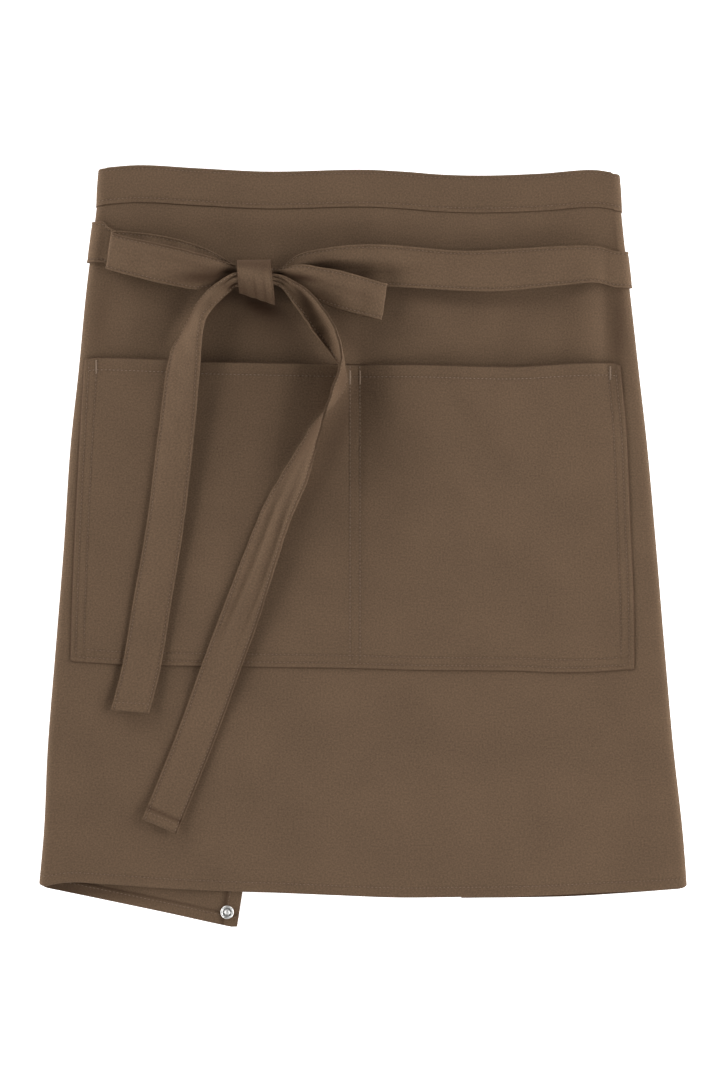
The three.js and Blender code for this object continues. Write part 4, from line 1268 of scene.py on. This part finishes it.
def pocket_seams():
    """Two rows along sides and foot; in lighter thread, two down the parting and one along the mouth."""
    wall, _ = MADE["pocket"]
    rows, cols = counted(wall.u), counted(wall.v)
    width, height = wall.width.mean(0), wall.height.mean(1)
    across, up = wall.u * POCKET_WIDTH, wall.v * POCKET_HEIGHT

    def down(part, inner):
        return sewn_line(wall, np.interp(part, wall.u, rows)[inner], cols[inner], 1)

    def along(part, inner):
        return sewn_line(wall, rows[inner], np.interp(part, wall.v, cols)[inner], 1)

    seams = []
    for d in POCKET_SEAMS:
        inner = (up > d) & (up < POCKET_HEIGHT - 1.5)
        seams += [down(d / width, inner), down(1 - d / width, inner)]
        seams.append(along(d / height, (across > d) & (across < POCKET_WIDTH - d)))
    left = pocket_sides(lerp(*POCKET_REACH, wall.v))[0]
    mouth = [down((x - left) / width, up > POCKET_SEAMS[0]) for x in PARTING]
    return seams, mouth + [along(1 - MOUTH_SEAM / height, slice(2, -2))]


def tie_seams():
    """Rows near both edges on both faces of every tie, and across the tails' ends."""
    seams = []
    seam = TIE_SEAM / TIE_WIDTH
    columns = np.interp([seam, 1 - seam], TIE_PARTS, counted(TIE_PARTS))
    for name in TIES:
        wall, _ = MADE[name]
        rows = counted(wall.run)
        for side in (1, -1):
            seams += [sewn_line(wall, rows, column, side) for column in columns]
            if "tail" in name:
                end = np.interp(wall.run[-1] - TIE_HEM + TIE_END_SEAM, wall.run, rows)
                seams.append(sewn_line(wall, end, np.linspace(*columns, 30), side))
    return seams


# Bar tacks on the pocket: place across the apron, and from where to where below the mouth
TACKS = [(-198.8, 1.0, 11.0), (PARTING[0], 3.6, 14.0), (PARTING[1], 3.6, 14.0), (184.5, 1.5, 11.5)]


def tack_rows(breadth=1.5, count=19):
    """Bar tacks: close zigzags of thread down the pocket at the parting and at the mouth's corners."""
    wall, _ = MADE["pocket"]
    tacks = []
    for x, top, bottom in TACKS:
        v = 1 - np.linspace(top, bottom, count) / POCKET_HEIGHT
        left, right = pocket_sides(lerp(*POCKET_REACH, v))
        u = (x + breadth / 2 * np.where(np.arange(count) % 2, 1, -1) - left) / (right - left)
        i, j = np.interp(u, wall.u, counted(wall.u)), np.interp(v, wall.v, counted(wall.v))
        points, out = wall.line(i, j, 1)
        tacks.append((points[:-1], points[1:], out[:-1]))
    return tacks


def declare_sheets():
    """Works out for each tie the length that it was cut to; nothing is done with it."""
    for name, (_, under) in TIES.items():
        wall, piece = MADE[name]
        long = round(float(wall.run[-1] - wall.run[0]) * MM, 3)


# Softboxes round the apron: direction from +X towards +Y and height over the floor in degrees, and watts
SOFTBOXES = [
    ("right_light", 0, 26, 22.0), ("back_light", 45, 18, 10.0), ("back_left_light", 135, 18, 19.0),
    ("left_light", 180, 24, 12.0), ("front_left_light", 225, 10, 13.0), ("front_right_light", 310, 27, 13.0),
]
BACKDROP = {"flat": 2600.0, "bend": 1400.0, "low": -0.3}
SENSOR = 36.0
CAMERA_OVER = (-2.25, 0.4)


def backdrop_profile():
    """Floor that goes level and then bends up all round in a quarter of a circle."""
    turn = np.radians(np.linspace(-90, -5, 24))
    low, bend = BACKDROP["low"], BACKDROP["bend"]
    rise = np.stack([BACKDROP["flat"] + bend * np.cos(turn), low + bend * (1 + np.sin(turn))], -1)
    return np.concatenate([[(0.02, low), (900.0, low)], rise])


class APRON_OT_stage(bpy.types.Operator):
    """Make the floor, the lights and the camera straight above"""

    bl_idname = "apron.stage"
    bl_label = "Stage"

    def execute(self, context):
        scene, stage = context.scene, context.scene.apron_stage

        def add(name, data):
            thing = bpy.data.objects.new(name, data)
            scene.collection.objects.link(thing)
            return thing

        points, faces, _ = turned(backdrop_profile(), 0, 0, lid=False)
        mesh = bpy.data.meshes.new("floor")
        mesh.from_pydata((points * MM).tolist(), [], faces.tolist())
        mesh.polygons.foreach_set("use_smooth", np.ones(len(faces), bool))
        finish = Finish("floor_white", Base_Color=(*stage.floor_colour, 1), Roughness=0.9,
                        Emission_Color=(1, 1, 1, 1), Emission_Strength=stage.floor_glow)
        mesh.materials.append(finish.material)
        floor = add("floor", mesh)

        for name, turn, height, power in SOFTBOXES:
            around, up = np.radians(turn), np.radians(height)
            toward = Vector((np.cos(around) * np.cos(up), np.sin(around) * np.cos(up), np.sin(up)))
            light = bpy.data.lights.new(name, "AREA")
            light.shape, light.size, light.energy = "SQUARE", stage.softbox, power * stage.light
            softbox = add(name, light)
            softbox.location = toward * stage.distance
            softbox.rotation_euler = toward.to_track_quat("Z", "Y").to_euler()
        scene.world = bpy.data.worlds.new("studio")
        scene.world.use_nodes = True
        background = scene.world.node_tree.nodes["Background"].inputs
        background["Color"].default_value = (1, 1, 1, 1)
        background["Strength"].default_value = stage.ambient
        camera = bpy.data.cameras.new("camera")
        camera.sensor_fit, camera.sensor_height = "VERTICAL", SENSOR
        camera.lens = SENSOR * stage.camera_height / stage.frame_height
        scene.camera = add("camera", camera)
        scene.camera.location = (CAMERA_OVER[0] * MM, CAMERA_OVER[1] * MM, stage.camera_height)
        scene.view_settings.view_transform = "Standard"
        return {"FINISHED"}


class APRON_PT_sidebar(bpy.types.Panel):
    """Lists the sizes and the steps"""

    bl_idname = "APRON_PT_sidebar"
    bl_label = "Waist Apron"
    bl_space_type = "VIEW_3D"
    bl_region_type = "UI"
    bl_category = "Apron"

    def draw(self, context):
        for group in (context.scene.apron_sizes, context.scene.apron_stage):
            for name in group.__annotations__:
                self.layout.prop(group, name)
        for step in STEPS:
            self.layout.operator(step.bl_idname)


STEPS = (APRON_OT_panel, APRON_OT_waistband, APRON_OT_pocket, APRON_OT_ties, APRON_OT_stud, APRON_OT_stitches,
         APRON_OT_stage)
CLASSES = (ApronSizes, ApronStage, *STEPS, APRON_PT_sidebar)


def register():
    for each in CLASSES:
        bpy.utils.register_class(each)
    bpy.types.Scene.apron_sizes = PointerProperty(type=ApronSizes)
    bpy.types.Scene.apron_stage = PointerProperty(type=ApronStage)


def unregister():
    del bpy.types.Scene.apron_stage
    del bpy.types.Scene.apron_sizes
    for each in reversed(CLASSES):
        bpy.utils.unregister_class(each)


def main():
    register()
    for step in STEPS:
        getattr(bpy.ops.apron, step.bl_idname.split(".")[1])()


if __name__ == "__main__":
    main()
